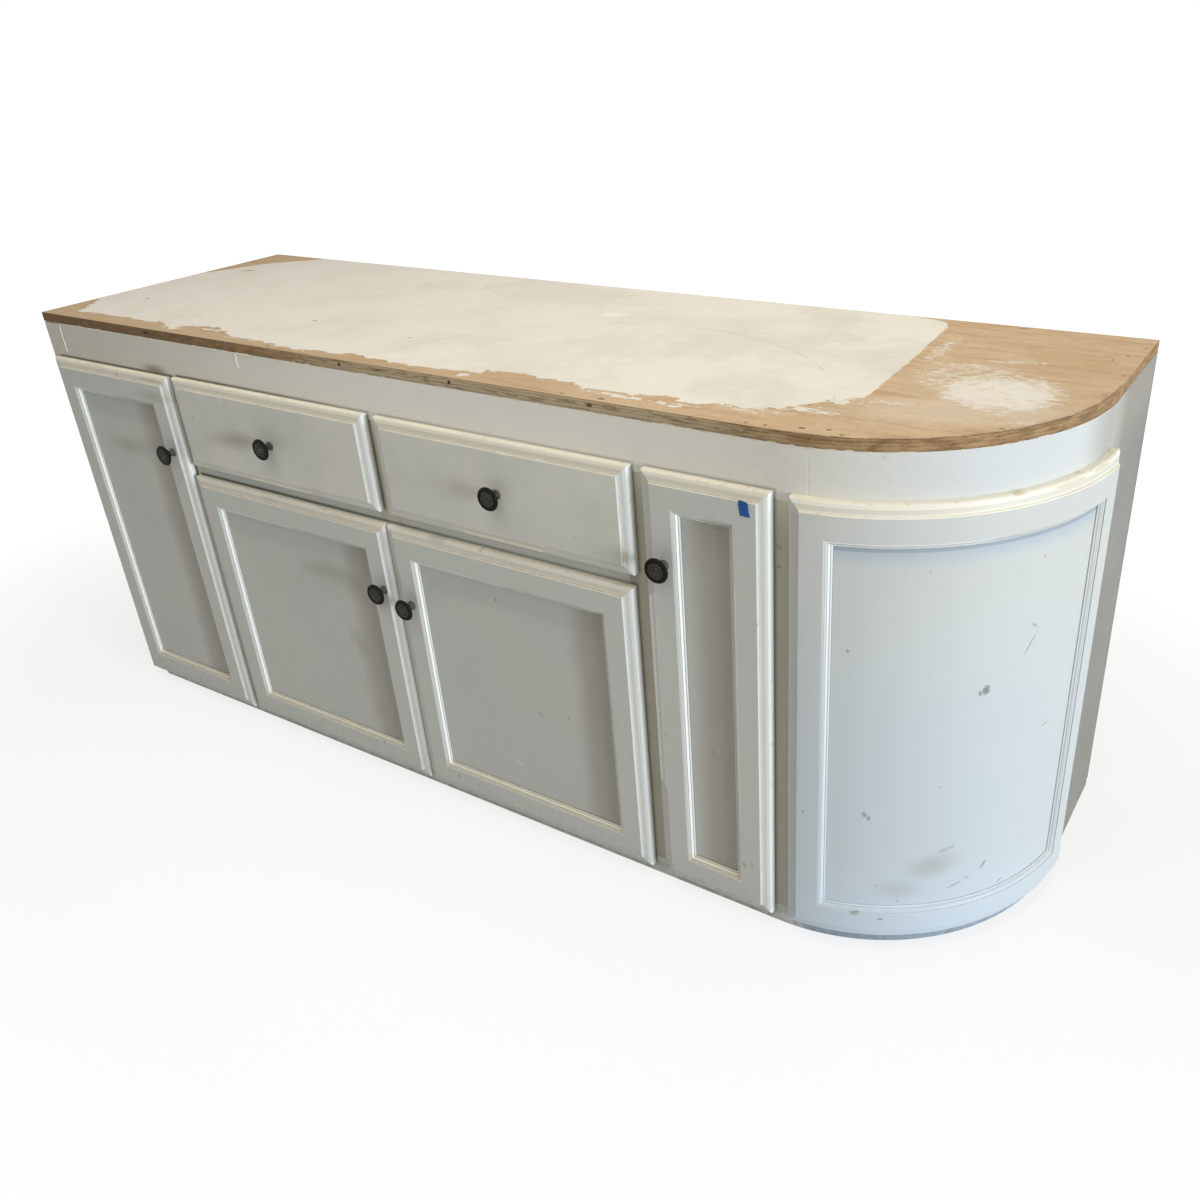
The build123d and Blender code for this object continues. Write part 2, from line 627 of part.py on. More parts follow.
def drilled(shape, faces):
    """The shape with the shelf pin holes of the board faces given."""
    for place in shelf_pin_places():
        if place[0] in faces:
            shape -= shelf_pin(*place, play=BORE_PLAY)
    return shape


def box_nodes():
    """Sides, back, floor, partitions, shelves and the plywood top."""
    depth = (FRAME_THICKNESS, inside_back)
    left_levels = (LEFT_STILE_LIFT, BOX_HEIGHT)
    left_side = drilled(nailed(block((0, BOARD), depth, left_levels)), (BOARD,))
    right_side = nailed(block((length - BOARD, length), (corner_y, inside_back), (0, BOX_HEIGHT)))
    upright_levels = (opening_low, BOX_HEIGHT)
    uprights = [drilled(nailed(block(faces, depth, upright_levels)), faces) for faces in partitions]
    shelves = [block(grown(bay, -SHELF_PLAY), shelf_span, (height, height + BOARD))
               for bay, height in zip(bays, shelf_heights)]
    bearer_middles = [BOARD + BEARER_WIDTH / 2] + [(low + high) / 2 for low, high in partitions]
    bearer_span = (FRAME_THICKNESS + BEARER_SETBACK, inside_back)
    bearers = [block(grown((middle, middle), BEARER_WIDTH / 2), bearer_span, (0, deck_low))
               for middle in bearer_middles]
    curve_bearer = (length - BOARD - BEARER_WIDTH, length - BOARD)
    bearers.append(block(curve_bearer, (inside_back - CURVE_BEARER_LENGTH, inside_back), (0, deck_low)))
    floor_radius = CORNER_RADIUS - FRAME_THICKNESS - SEAT
    return {
        "left_side": [left_side],
        "right_side": [right_side],
        "back_panel": [block((0, length), (inside_back, BOX_DEPTH), left_levels)],
        "floor_deck": [rounded_board(BOARD, (FRAME_THICKNESS + SEAT, inside_back), floor_radius,
                                     (deck_low, opening_low))],
        "floor_bearers": bearers,
        "partitions": uprights,
        "shelves": shelves,
        "shelf_pins": [shelf_pin(*place) for place in shelf_pin_places()],
        "plywood_top": [nailed(rounded_board(0, (0, BOX_DEPTH), CORNER_RADIUS,
                                             (BOX_HEIGHT, BOX_HEIGHT + TOP_THICKNESS)))],
        "top_nails": [nail(place) for place in nail_places()],
    }


def build_nodes():
    """Every node's solids, with the cabinet's left front bottom corner at the origin."""
    doors = (door_1, door_2, door_3, door_4)
    nodes = {**frame_nodes(), **curved_end_nodes(), **box_nodes(), **drawer_support_nodes()}
    nodes["hinge_plates"] = [hinge_plate(door, height) for door in doors for height in hinge_heights(door)]
    for door in doors:
        nodes.update(door_nodes(door))
    nodes.update(drawer_nodes(drawer_1, opening_2))
    nodes.update(drawer_nodes(drawer_2, opening_3))
    return {name: Compound([solid for shape in shapes for solid in shape.solids()])
            for name, shapes in nodes.items()}


def centring(nodes):
    """Move that puts the middle of the assembly's base at the origin."""
    box = Compound(list(nodes.values())).bounding_box()
    return Pos(-(box.min.X + box.max.X) / 2, -(box.min.Y + box.max.Y) / 2, -box.min.Z)


def main():
    nodes = build_nodes()
    shift = centring(nodes)
    os.makedirs("parts", exist_ok=True)
    for name, shape in nodes.items():
        export_step(shift * shape, "parts/" + name + ".step")


if __name__ == "__main__":
    main()
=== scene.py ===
# %% [markdown]
# # A used kitchen base cabinet with a quarter-round end
#
# This lesson dresses a long kitchen cabinet in worn paint, bare plywood and old adhesive. The
# cabinet's boards, doors and drawers arrive as ready meshes, each at its real place in metres,
# so the work here is finishes, the thin things that lie on the boards, light and a camera.

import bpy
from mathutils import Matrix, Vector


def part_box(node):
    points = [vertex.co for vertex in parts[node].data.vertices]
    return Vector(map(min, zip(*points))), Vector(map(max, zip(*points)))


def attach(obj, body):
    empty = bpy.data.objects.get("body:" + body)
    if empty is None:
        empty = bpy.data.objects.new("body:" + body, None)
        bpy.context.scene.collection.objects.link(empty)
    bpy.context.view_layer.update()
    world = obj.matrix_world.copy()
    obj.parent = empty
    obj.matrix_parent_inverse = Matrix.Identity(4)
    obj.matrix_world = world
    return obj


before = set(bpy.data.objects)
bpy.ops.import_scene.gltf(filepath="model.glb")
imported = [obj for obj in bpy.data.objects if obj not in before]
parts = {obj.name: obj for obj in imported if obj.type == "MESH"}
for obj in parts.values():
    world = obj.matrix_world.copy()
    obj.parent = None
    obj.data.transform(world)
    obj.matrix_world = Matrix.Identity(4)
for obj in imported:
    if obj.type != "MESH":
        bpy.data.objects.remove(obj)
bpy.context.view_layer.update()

# %% [markdown]
# ## A small kit for material sums
#
# A material is a graph of nodes, and most of the wear on this cabinet is arithmetic on masks:
# one minus this, times that. The class below wraps the output of a node, so that a Python
# expression such as `1 - edge * dirt` adds the Math nodes by itself.

# %% The wrapped socket
import bpy


def plug(tree, socket, value):
    """Gives a socket a link or a plain value."""
    if isinstance(value, Wire):
        tree.links.new(value.socket, socket)
    else:
        socket.default_value = value


class Wire:
    """An output socket that does sums."""

    def __init__(self, tree, socket):
        self.tree = tree
        self.socket = socket

    def combine(self, operation, *values):
        """A Math node that takes these values in their order."""
        node = self.tree.nodes.new("ShaderNodeMath")
        node.operation = operation
        for socket, value in zip(node.inputs, values):
            plug(self.tree, socket, value)
        return Wire(self.tree, node.outputs[0])

    def maths(self, operation, *others):
        """A Math node whose first value is this socket."""
        return self.combine(operation, self, *others)

    def __add__(self, other):
        return self.maths("ADD", other)

    def __radd__(self, other):
        return self.combine("ADD", other, self)

    def __sub__(self, other):
        return self.maths("SUBTRACT", other)

    def __rsub__(self, other):
        return self.combine("SUBTRACT", other, self)

    def __mul__(self, other):
        return self.maths("MULTIPLY", other)

    def __rmul__(self, other):
        return self.combine("MULTIPLY", other, self)

    def __truediv__(self, other):
        return self.maths("DIVIDE", other)

    def __rtruediv__(self, other):
        return self.combine("DIVIDE", other, self)

    def __abs__(self):
        return self.maths("ABSOLUTE")

    def least(self, other):
        return self.maths("MINIMUM", other)

    def most(self, other):
        return self.maths("MAXIMUM", other)


# %% [markdown]
# Every other kind of node comes from one method, which takes the node's type, its settings and
# the values of its inputs. Around it stand a few short forms for what wood and paint need most:
# noise, a soft step, a colour mix, and the coordinates of the point that is being coloured.

# %% The finish builder
import math


def tone(red, green, blue):
    """A screen colour from 0 to 255, as the light values that a material takes."""
    linear = [((part / 255 + 0.055) / 1.055) ** 2.4 for part in (red, green, blue)]
    return (*linear, 1.0)


class Finish:
    """One material while it is being made."""

    def __init__(self, name):
        self.material = bpy.data.materials.new(name)
        self.material.use_nodes = True
        self.tree = self.material.node_tree
        self.shader = self.tree.nodes["Principled BSDF"]
        self.place = self.node("TexCoord", output="Object")
        self.x, self.y, self.z = self.split(self.place)
        self.facing = self.split(self.node("TexCoord", output="Normal"))

    def node(self, kind, settings=None, inputs=None, output=0):
        made = self.tree.nodes.new("ShaderNode" + kind)
        for name, value in (settings or {}).items():
            setattr(made, name, value)
        for name, value in (inputs or {}).items():
            plug(self.tree, made.inputs[name], value)
        return Wire(self.tree, made.outputs[output])

    def split(self, vector):
        made = self.tree.nodes.new("ShaderNodeSeparateXYZ")
        plug(self.tree, made.inputs[0], vector)
        return [Wire(self.tree, socket) for socket in made.outputs]

    def point(self, x, y, z):
        return self.node("CombineXYZ", inputs={0: x, 1: y, 2: z})

    def step(self, value, start, end):
        """Smooth rise from 0 at start to 1 at end, which may also be the lower of the two."""
        settings = {"interpolation_type": "SMOOTHSTEP"}
        inputs = {"Value": value, "From Min": start, "From Max": end}
        if start > end:
            inputs.update({"From Min": end, "From Max": start, "To Min": 1.0, "To Max": 0.0})
        return self.node("MapRange", settings, inputs)

    def band(self, value, middle, half, soft):
        """1 near the middle value, falling to 0 past the half width."""
        return self.step(abs(value - middle), half + soft, half)

    def noise(self, vector, scale, detail=3.0, roughness=0.55):
        inputs = {"Vector": vector, "Scale": scale, "Detail": detail, "Roughness": roughness}
        return self.node("TexNoise", inputs=inputs)

    def mix(self, factor, first, second):
        return self.node("Mix", {"data_type": "RGBA"}, {0: factor, 6: first, 7: second}, 2)

    def ellipse(self, across, up, spot):
        """Distance from a spot's middle in units of its own two radii."""
        middle_x, middle_y, radius_x, radius_y, turn = spot
        cosine = math.cos(math.radians(turn))
        sine = math.sin(math.radians(turn))
        aside = across - middle_x
        above = up - middle_y
        along = (aside * cosine + above * sine) / radius_x
        over = (above * cosine - aside * sine) / radius_y
        return (along * along + over * over).maths("SQRT")

    def finish(self, colour, roughness, height, depth, metal=0.0, gloss=0.5):
        """Plugs the results into the shader and returns the material."""
        plug(self.tree, self.shader.inputs["Base Color"], colour)
        plug(self.tree, self.shader.inputs["Roughness"], roughness)
        self.shader.inputs["Metallic"].default_value = metal
        self.shader.inputs["IOR"].default_value = 1.45
        self.shader.inputs["Specular IOR Level"].default_value = gloss
        bump = self.node("Bump", inputs={"Height": height, "Distance": depth})
        plug(self.tree, self.shader.inputs["Normal"], bump)
        print(self.material.name, "has", len(self.tree.nodes), "nodes")
        return self.material


# %% [markdown]
# ## Worn brushed paint
#
# Every front and frame member carries the same antique-white paint, put on with a brush along
# the grain, now yellowed on the ledges that catch dust and chipped at the corners. All of these
# follow the member's own shape, so the paint is worked out from a few distances: how far a
# point lies from the front's outer edge, and how far across and up from its middle. The curved
# panel's distances are measured round the corner, as if it were rolled out flat.

# %% Where a point lies on a front
MEMBER = 0.055
RECESS = MEMBER + 0.010
CORNER = (0.676, 0.068)
CURVE_RADIUS = 0.3743
PAINT = tone(211, 213, 206)
TAN = tone(196, 170, 124)
GLAZE = tone(112, 98, 70)
SOOT = tone(66, 63, 58)


def unrolled(finish):
    """Distance round the corner along the curved panel's face, from its front point."""
    angle = (finish.x - CORNER[0]).maths("ARCTAN2", CORNER[1] - finish.y)
    return angle * CURVE_RADIUS


class Front:
    """One front: its half size, and where a point of it lies from its middle and its edges."""

    def __init__(self, name, across, middle, half, curved=False):
        finish = self.finish = Finish(name)
        self.curved = curved
        self.soiled = 0.4 if curved else 1.0
        self.half_width, self.half_height = half
        self.across = across(finish)
        self.up = finish.z - middle
        self.side = self.half_width - abs(self.across)
        self.level = self.half_height - abs(self.up)
        self.inset = self.side.least(self.level)
        self.ledge = finish.step(finish.facing[2], 0.25, 0.75)
        self.outer_face = 1.0 if curved else finish.step(finish.facing[1], 0.8, 0.4)
        self.cloud, self.grain, self.speck = mottles(finish, 5.0)

    def mitred(self, own, other):
        """1 where the distance to a member's own edge is less than the other distance."""
        return self.finish.step(other - own, -0.0002, 0.0004)


# %% [markdown]
# Brush strokes are noise squeezed along one direction. They run upright on stiles and panels
# and level on rails. Three more noises serve every painted board: broad clouds, a middling
# grain and fine specks. Chips show where specks and grain are both strong.

# %% Brush strokes and mottles
def brushed(finish, across, up, upright):
    """Fine brush strokes, upright where the mask is 1 and level where it is 0."""
    tall = finish.noise(finish.point(across, finish.y * 0.2, up * 0.035), 520.0, 2.0)
    wide = finish.noise(finish.point(across * 0.035, finish.y * 0.2, up), 520.0, 2.0)
    return tall * upright + wide * (1 - upright)


def mottles(finish, scale):
    """Broad clouds, grain and fine specks."""
    cloud = finish.noise(finish.place, scale, 3.0)
    grain = finish.noise(finish.place, 85.0, 4.0, 0.65)
    speck = finish.noise(finish.place, 420.0, 2.0, 0.6)
    return cloud, grain, speck


def chipped(finish, grain, speck):
    return finish.step(speck, 0.74, 0.765) * finish.step(grain, 0.52, 0.6)


# %% [markdown]
# A mark is written as seven values: its place and its two radii in millimetres, how far it is
# turned in degrees, its colour and its strength. Real scuffs are ragged and gritty, so a noise
# pushes the border of a small one in and out and breaks up its middle. Wide ones fade softly.

# %% Spots, scuffs and scratches
def in_metres(spots, x=0.0, z=0.0):
    """Places and radii in millimetres, as metres from the point x, z."""
    return [(across / 1000 - x, up / 1000 - z, wide / 1000, high / 1000, *rest)
            for across, up, wide, high, *rest in spots]


def add_marks(finish, colour, across, up, marks, where=1.0):
    ragged = finish.noise(finish.place, 260.0, 4.0, 0.7) - 0.5
    grit = finish.step(finish.noise(finish.place, 800.0, 3.0, 0.7), 0.42, 0.54) * 0.6 + 0.4
    for *spot, shade, strength in marks:
        narrow, broad = sorted(spot[2:4])
        wide = narrow > 0.011
        raggedness = 0.5 if wide or broad > 8 * narrow else 1.7
        away = finish.ellipse(across, up, spot) + ragged * raggedness
        mask = finish.step(away, 1.3, 0.1) if wide else finish.step(away, 1.1, 0.6) * grit
        colour = finish.mix(mask * (strength * where), colour, shade)
    return colour


def spotted(finish, colour, across, up, spots, fine, strength, shade):
    """Plain ragged spots of one colour, such as nail holes."""
    for spot in in_metres(spots):
        away = finish.ellipse(across, up, spot) + (fine - 0.5)
        colour = finish.mix(finish.step(away, 1.1, 0.6) * strength, colour, shade)
    return colour


# %% [markdown]
# The moulding round a front has a lip, a hollow, and a quirk, which is the small groove before
# the flat face. The top moulding is painted cream: partly yellowed paint, partly painted warm
# light from above. The side that faces the window is painted white, as a painted highlight. The
# hollow is painted darker as shade, and the quirk as a thin dark line, partly glaze and partly
# painted shade. Whatever faces up is painted cream, partly dust and partly painted light from
# above, with tan rubs on it. The shape is in the mesh already, so colour only has to follow it at
# the right distances.

# %% The moulding round a front
def outer_moulding(front, colour):
    finish, inset, grain, ledge = front.finish, front.inset, front.grain, front.ledge
    profile = finish.step(inset, 0.0184, 0.0178)
    topmost = profile * front.mitred(front.half_height - front.up, front.side)
    rightmost = profile * front.mitred(front.half_width - front.across, front.level)
    # Painted light: warm cream on the top moulding, partly yellowed paint, and a white highlight on
    # the side that faces the window.
    colour = finish.mix(topmost * 0.90, colour, tone(247, 242, 226))
    colour = finish.mix(rightmost * (0.10 if front.curved else 0.90), colour, tone(247, 250, 249))
    # Painted shade in the hollow.
    hollow = finish.band(inset, 0.0105, 0.0026, 0.0014) * (topmost + rightmost)
    colour = finish.mix(hollow * 0.34, colour, tone(170, 168, 152))
    # Up-facing faces painted cream: partly dust, partly painted light from above.
    colour = finish.mix(ledge * (0.6 - topmost * 0.45), colour, tone(236, 228, 200))
    rubs = ledge * finish.step(grain, 0.46, 0.64) * finish.step(front.cloud, 0.44, 0.62)
    colour = finish.mix(rubs * 0.35, colour, TAN)
    # The quirk's dark line: partly glaze, partly painted shade in the groove.
    quirk = finish.band(inset, 0.0159, 0.0005, 0.0005)
    colour = finish.mix(quirk * (grain * 0.5 + 0.15) * front.soiled, colour, tone(132, 124, 102))
    rubbed_lip = finish.step(inset, 0.004, 0.0) * finish.step(grain, 0.60, 0.70)
    return finish.mix(rubbed_lip * 0.3, colour, TAN)


# %% [markdown]
# A door's panel lies in a recess with its own small moulding of three beads. Its beads are
# painted white as a highlight, brightest on the left, where they face the window, and the grooves
# between them are painted darker as shade. The lower one is painted cream, partly dust and partly
# painted light from above, with broken dark lines. Both painted bands reach a little onto the
# member, so they look a little wider than the beads are.

# %% The moulding round the recess
def inner_moulding(front, colour):
    finish, inset = front.finish, front.inset
    foot = -front.half_height
    lower = finish.step(front.up, foot + 0.072, foot + 0.066)
    left_member = front.mitred(front.half_width + front.across, front.level)
    low_member = front.mitred(front.half_height + front.up, front.side)
    # The painted highlight spreads about three millimetres onto the left and low members.
    highlight_spread = left_member.most(low_member) * 0.0028
    beads = finish.step(inset + highlight_spread, MEMBER - 0.0003, MEMBER + 0.0003)
    beads = beads * finish.step(inset, RECESS + 0.0003, RECESS - 0.0002)
    leftmost = finish.step(front.across, 0.02, -0.02)
    # Painted highlight on the beads, brightest on the left, where they face the window.
    colour = finish.mix(beads * (leftmost * 0.65 + 0.25), colour, tone(250, 253, 252))
    # The lower beads painted cream: partly dust, partly painted light from above.
    colour = finish.mix(beads * lower * 0.90, colour, tone(243, 238, 220))
    # The grooves between the beads painted darker as shade; the lower one's also has broken crack
    # lines.
    lines = finish.band(inset, MEMBER + 0.0036, 0.0004, 0.0004)
    lines = lines.most(finish.band(inset, MEMBER + 0.0067, 0.0004, 0.0004))
    lines = lines.most(finish.band(inset, MEMBER + 0.0099, 0.0003, 0.0005))
    broken = finish.step(front.grain, 0.40, 0.56)
    colour = finish.mix(lines * (lower * broken * 0.15 + 0.70), colour, tone(146, 146, 134))
    # A painted shade line where the moulding meets the member.
    rim_line = finish.band(inset, MEMBER + 0.0004, 0.0003, 0.0005)
    return finish.mix(rim_line * 0.45, colour, tone(118, 112, 94))


# %% [markdown]
# The panel itself is duller than its frame. The corner behind the right stile is painted browner,
# as the shadow that stile casts, and the panel is painted dimmer under the top rail, as its shade.
# The curved board lies in its rail's shade at the top, where the paint looks bluer. Lamps alone
# leave these too faint, because a real room is full of things that block the light from some sides.

# %% Shades on the recessed panel
def panel_shades(front, colour, panel):
    finish = front.finish
    top = front.half_height - MEMBER
    if front.curved:
        shade = panel * finish.step(front.up, top - 0.044, top - 0.014)
        colour = finish.mix(shade * 0.60, colour, tone(170, 187, 204))
        # A dark line at the top of the curved board: painted shade under the rail.
        rebate = panel * finish.step(front.up, top - 0.017, top - 0.015)
        return finish.mix(rebate * 0.45, colour, tone(116, 122, 138))
    right = front.half_width - MEMBER
    # Painted shade on the panel's front, under the top rail and behind the right stile; the panel is
    # also a little duller overall.
    shaded_panel = panel * front.outer_face * 0.6
    colour = finish.mix(shaded_panel * 0.14, colour, tone(146, 146, 138))
    under = finish.step(front.up, top - 0.075, top - 0.035)
    colour = finish.mix(shaded_panel * under * 0.25, colour, tone(128, 130, 126))
    # Painted shadow cast by the right stile onto the panel.
    corner = finish.step(front.across + front.cloud * 0.03, right - 0.078, right - 0.028)
    return finish.mix(shaded_panel * corner * 0.75, colour, tone(132, 121, 98))


# %% [markdown]
# One function now lays the coats in the order in which they came: base coat, brush strokes,
# a yellow haze, the mouldings, grime and painted shade on a flat front's edge beside the frame,
# chips, floor dirt and marks. Marks stay off the back of a door, which is seen when it swings open.

# %% The paint of one front
def leftwards(finish, more, least):
    """A strength that grows towards the cabinet's left end, which is far from the window."""
    return finish.step(finish.x, 0.3, -0.5) * more + least


def painted(front, base, marks, framed=True):
    finish, cloud, grain, speck = front.finish, front.cloud, front.grain, front.speck
    panel = finish.step(front.inset, RECESS - 0.001, RECESS) if framed else 0.0
    stile = finish.step(front.side, MEMBER + 0.0005, MEMBER - 0.0005)
    strokes = brushed(finish, front.across, front.up, stile.most(panel) if framed else 0.0)
    colour = finish.mix(finish.step(cloud, 0.35, 0.65) * 0.6, base, tone(209, 211, 208))
    colour = finish.mix((strokes - 0.5) * 0.14 + 0.04, colour, tone(180, 174, 156))
    haze = finish.step(cloud * 0.6 + grain * 0.4, 0.52, 0.72)
    colour = finish.mix(haze * (0.12 * front.soiled), colour, tone(172, 160, 132))
    colour = outer_moulding(front, colour)
    if framed:
        colour = panel_shades(front, inner_moulding(front, colour), panel)
    if not front.curved:
        # Grime and painted shade on a front's side faces next to the frame, darker far from the
        # window.
        back_edge = finish.step(finish.y, -0.2945, -0.2905)
        colour = finish.mix(back_edge * leftwards(finish, 0.45, 0.25), colour, SOOT)
    chips = chipped(finish, grain, speck)
    colour = finish.mix(chips * 0.5, colour, GLAZE)
    floor_dirt = finish.step(finish.z, 0.09, 0.0) * finish.step(grain, 0.36, 0.66)
    colour = finish.mix(floor_dirt * 0.22, colour, GLAZE)
    colour = add_marks(finish, colour, front.across, front.up, marks, front.outer_face)
    roughness = grain * 0.16 + front.ledge * 0.15 + chips * 0.2 + 0.40
    return finish.finish(colour, roughness, strokes * 0.5 + speck * 0.25 + grain * 0.25, 0.00015)


# %% [markdown]
# ### Fronts and the marks that each one carries
#
# The dark dots are dents and screw rubs, the pale ones are chips in the top coat, the warm
# ones at the corners are where hands have rubbed the moulding, and the wide faint ones beside
# the knobs are painted shadows of the knobs. They are listed one by one, so that each lies where
# the real one does.

# %% Marks on the flat fronts
# One colour for small real smudges and for wide painted shadows, such as those of the knobs.
SMUDGE_AND_SHADOW = tone(132, 122, 100)
PALE = tone(240, 240, 234)
MARKS = {
    "door_1": [
        (-700, 745, 55, 14, 0, SMUDGE_AND_SHADOW, 0.3), (-652, 745, 3, 20, 0, TAN, 0.25),
        (-811, 776, 3, 6, 0, SMUDGE_AND_SHADOW, 0.6), (-700, 777, 40, 4, 0, TAN, 0.6),
        (-860, 618, 60, 20, 0, SMUDGE_AND_SHADOW, 0.3)],
    "door_2": [
        (-420, 577, 30, 6, 0, GLAZE, 0.15), (-230, 579, 18, 4, 0, TAN, 0.2),
        (-221, 75, 2.5, 2.5, 0, SOOT, 0.8), (-300, 200, 1.5, 12, 0, PALE, 0.4),
        # The two wide marks here are painted shadows of the knob.
        (-300, 450, 85, 22, 6, SMUDGE_AND_SHADOW, 0.3), (-243, 300, 22, 40, 25, SMUDGE_AND_SHADOW, 0.25)],
    "door_3": [
        (206, 277, 4, 8, 35, SMUDGE_AND_SHADOW, 0.35), (269, 289, 3, 5, 0, SMUDGE_AND_SHADOW, 0.4),
        (140, 145, 14, 3, -25, PALE, 0.6), (165, 143, 4, 3, 20, SMUDGE_AND_SHADOW, 0.5),
        (-19, 62, 2.5, 4, 0, SOOT, 0.7), (135, 492, 3, 5, 10, SOOT, 0.45),
        (20, 583, 24, 6, 0, SMUDGE_AND_SHADOW, 0.3), (120, 584, 4, 5, 0, SMUDGE_AND_SHADOW, 0.4)],
    "door_4": [
        (622, 116, 4, 7, 30, SOOT, 0.35), (636, 120, 3, 6, 10, SOOT, 0.3),
        (651, 584, 1.5, 4, 0, SMUDGE_AND_SHADOW, 0.4), (480, 330, 3, 4, 0, SMUDGE_AND_SHADOW, 0.4),
        (584, 720, 10, 2, 0, SMUDGE_AND_SHADOW, 0.35), (565, 320, 3, 6, 0, SOOT, 0.25),
        (463, 40, 3, 4, 0, SOOT, 0.5)],
    "drawer_1": [
        (-487, 768, 4, 10, 0, PALE, 0.6), (-585, 719, 2.2, 2.2, 0, SOOT, 0.6),
        # The wide mark here is a painted shadow of the knob.
        (-470, 692, 85, 20, 8, SMUDGE_AND_SHADOW, 0.34)],
    "drawer_2": [
        (200, 772, 20, 3, 0, PALE, 0.5), (330, 655, 2, 2, 0, SOOT, 0.4),
        (-43, 724, 2.5, 3, 0, PALE, 0.7), (423, 640, 4, 12, 0, TAN, 0.5)],
}


def dress(material, *names):
    """Gives the named parts one material."""
    for name in names:
        parts[name].data.materials.clear()
        parts[name].data.materials.append(material)


for name, marks in MARKS.items():
    framed = name.startswith("door")
    endings = ("_stiles", "_rails", "_panel") if framed else ("_front",)
    low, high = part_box(name + endings[0])
    middle_x, middle_z = (low.x + high.x) / 2, (low.z + high.z) / 2
    half = ((high.x - low.x) / 2, (high.z - low.z) / 2)
    front = Front(name + " paint", lambda finish, x=middle_x: finish.x - x, middle_z, half)
    base = PAINT if framed else tone(229, 228, 218)
    paint = painted(front, base, in_metres(marks, middle_x, middle_z), framed)
    dress(paint, *[name + ending for ending in endings])

# %% [markdown]
# The curved panel is the same framed front bent round the corner. Its board has had the hardest
# life: two black rub marks, a long scratch, and a cloud of scuffs low down where feet pass. On
# the curve, a mark's place is an angle round the corner in degrees and a height.

# %% Paint on the curved panel
ARC_MIDDLE = 0.3012
CURVED_MARKS = [
    # The first two marks are wide bluish tints: painted cool window light on the board.
    (35, 250, 500, 450, 0, tone(200, 211, 220), 0.7),
    (35, 20, 400, 150, 0, tone(206, 220, 234), 0.75), (49.1, 485, 7.5, 9, 0, SOOT, 0.85),
    (47.6, 481, 3.5, 5, 0, SOOT, 0.7), (22.1, 271, 4.5, 6, 20, SOOT, 0.65),
    (23.2, 265, 3.5, 5, 0, SOOT, 0.6), (60.1, 544, 1.7, 22, -32, SOOT, 0.6),
    (60.9, 573, 10, 1.5, -35, SOOT, 0.55), (42.8, 196, 17, 4, 15, SOOT, 0.3),
    (53.5, 145, 3, 11, -35, SOOT, 0.55), (45.9, 118, 16, 2.5, 20, SOOT, 0.4),
    (59.4, 95, 8, 2.5, 25, SOOT, 0.45), (49, 128, 6, 2.5, -30, SOOT, 0.35),
    (39.5, 165, 50, 26, 10, SMUDGE_AND_SHADOW, 0.3), (31, 120, 40, 22, 0, SMUDGE_AND_SHADOW, 0.22),
    (16.8, 562, 2.8, 3.2, 0, SOOT, 0.65), (69.1, 381, 12, 3, 10, SMUDGE_AND_SHADOW, 0.35),
    (20.8, 76, 10, 4.5, 0, GLAZE, 0.6), (27.1, 66, 6, 3, 0, GLAZE, 0.6),
    (7.6, 266, 2.2, 3, 0, SOOT, 0.6), (39.8, 321, 1.8, 2.2, 0, SOOT, 0.5),
    (61.2, 683, 3, 3.4, 0, SMUDGE_AND_SHADOW, 0.4), (33.7, 689, 2, 2, 0, SMUDGE_AND_SHADOW, 0.4),
    (31.3, 97, 2.2, 2.2, 0, SOOT, 0.5), (26, 129, 2, 2.2, 0, SOOT, 0.45),
    (28.9, 800, 8, 3, 0, SMUDGE_AND_SHADOW, 0.5), (52, 789, 12, 2.5, 0, TAN, 0.5),
    (66, 785, 40, 3, 0, TAN, 0.45), (78, 786, 30, 3, 0, TAN, 0.5)]
DEGREE = math.radians(1) * CURVE_RADIUS * 1000  # millimetres round the corner for one degree
low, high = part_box("curved_panel_stiles")
middle_z = (low.z + high.z) / 2
half = (CURVE_RADIUS * math.pi / 4 - 0.01375, (high.z - low.z) / 2)
front = Front("curved panel paint", lambda finish: unrolled(finish) - ARC_MIDDLE, middle_z, half, True)
unrolled_marks = [(angle * DEGREE, *rest) for angle, *rest in CURVED_MARKS]
paint = painted(front, tone(212, 214, 208), in_metres(unrolled_marks, ARC_MIDDLE, middle_z))
dress(paint, "curved_panel_stiles", "curved_panel_rails", "curved_panel_board")

# %% [markdown]
# ### The face frame
#
# The frame behind the fronts has no moulding, so it takes the same paint without those lines.
# Rails are brushed level and stiles upright. Right beside each front the frame is painted dark:
# partly grime, where a cloth does not reach, and partly painted shade in the gap, stronger far from
# the window. A mask follows the outlines of all the fronts at once.

# %% Plain paint for the frame and the sides
FRONTS = [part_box(name + ending) for name in MARKS for ending in ("_stiles", "_front")
          if name + ending in parts]


def grime_and_shade_beside_fronts(finish):
    """Grime and painted shade on the frame along the outline of every front."""
    outside = None
    for low, high in FRONTS:
        aside = abs(finish.x - (low.x + high.x) / 2) - (high.x - low.x) / 2
        above = abs(finish.z - (low.z + high.z) / 2) - (high.z - low.z) / 2
        gap = aside.most(above)
        outside = gap if outside is None else outside.least(gap)
    near = finish.step(outside, 0.0050, 0.0005) * finish.step(finish.y, -0.25, -0.28)
    return near * leftwards(finish, 0.40, 0.30)


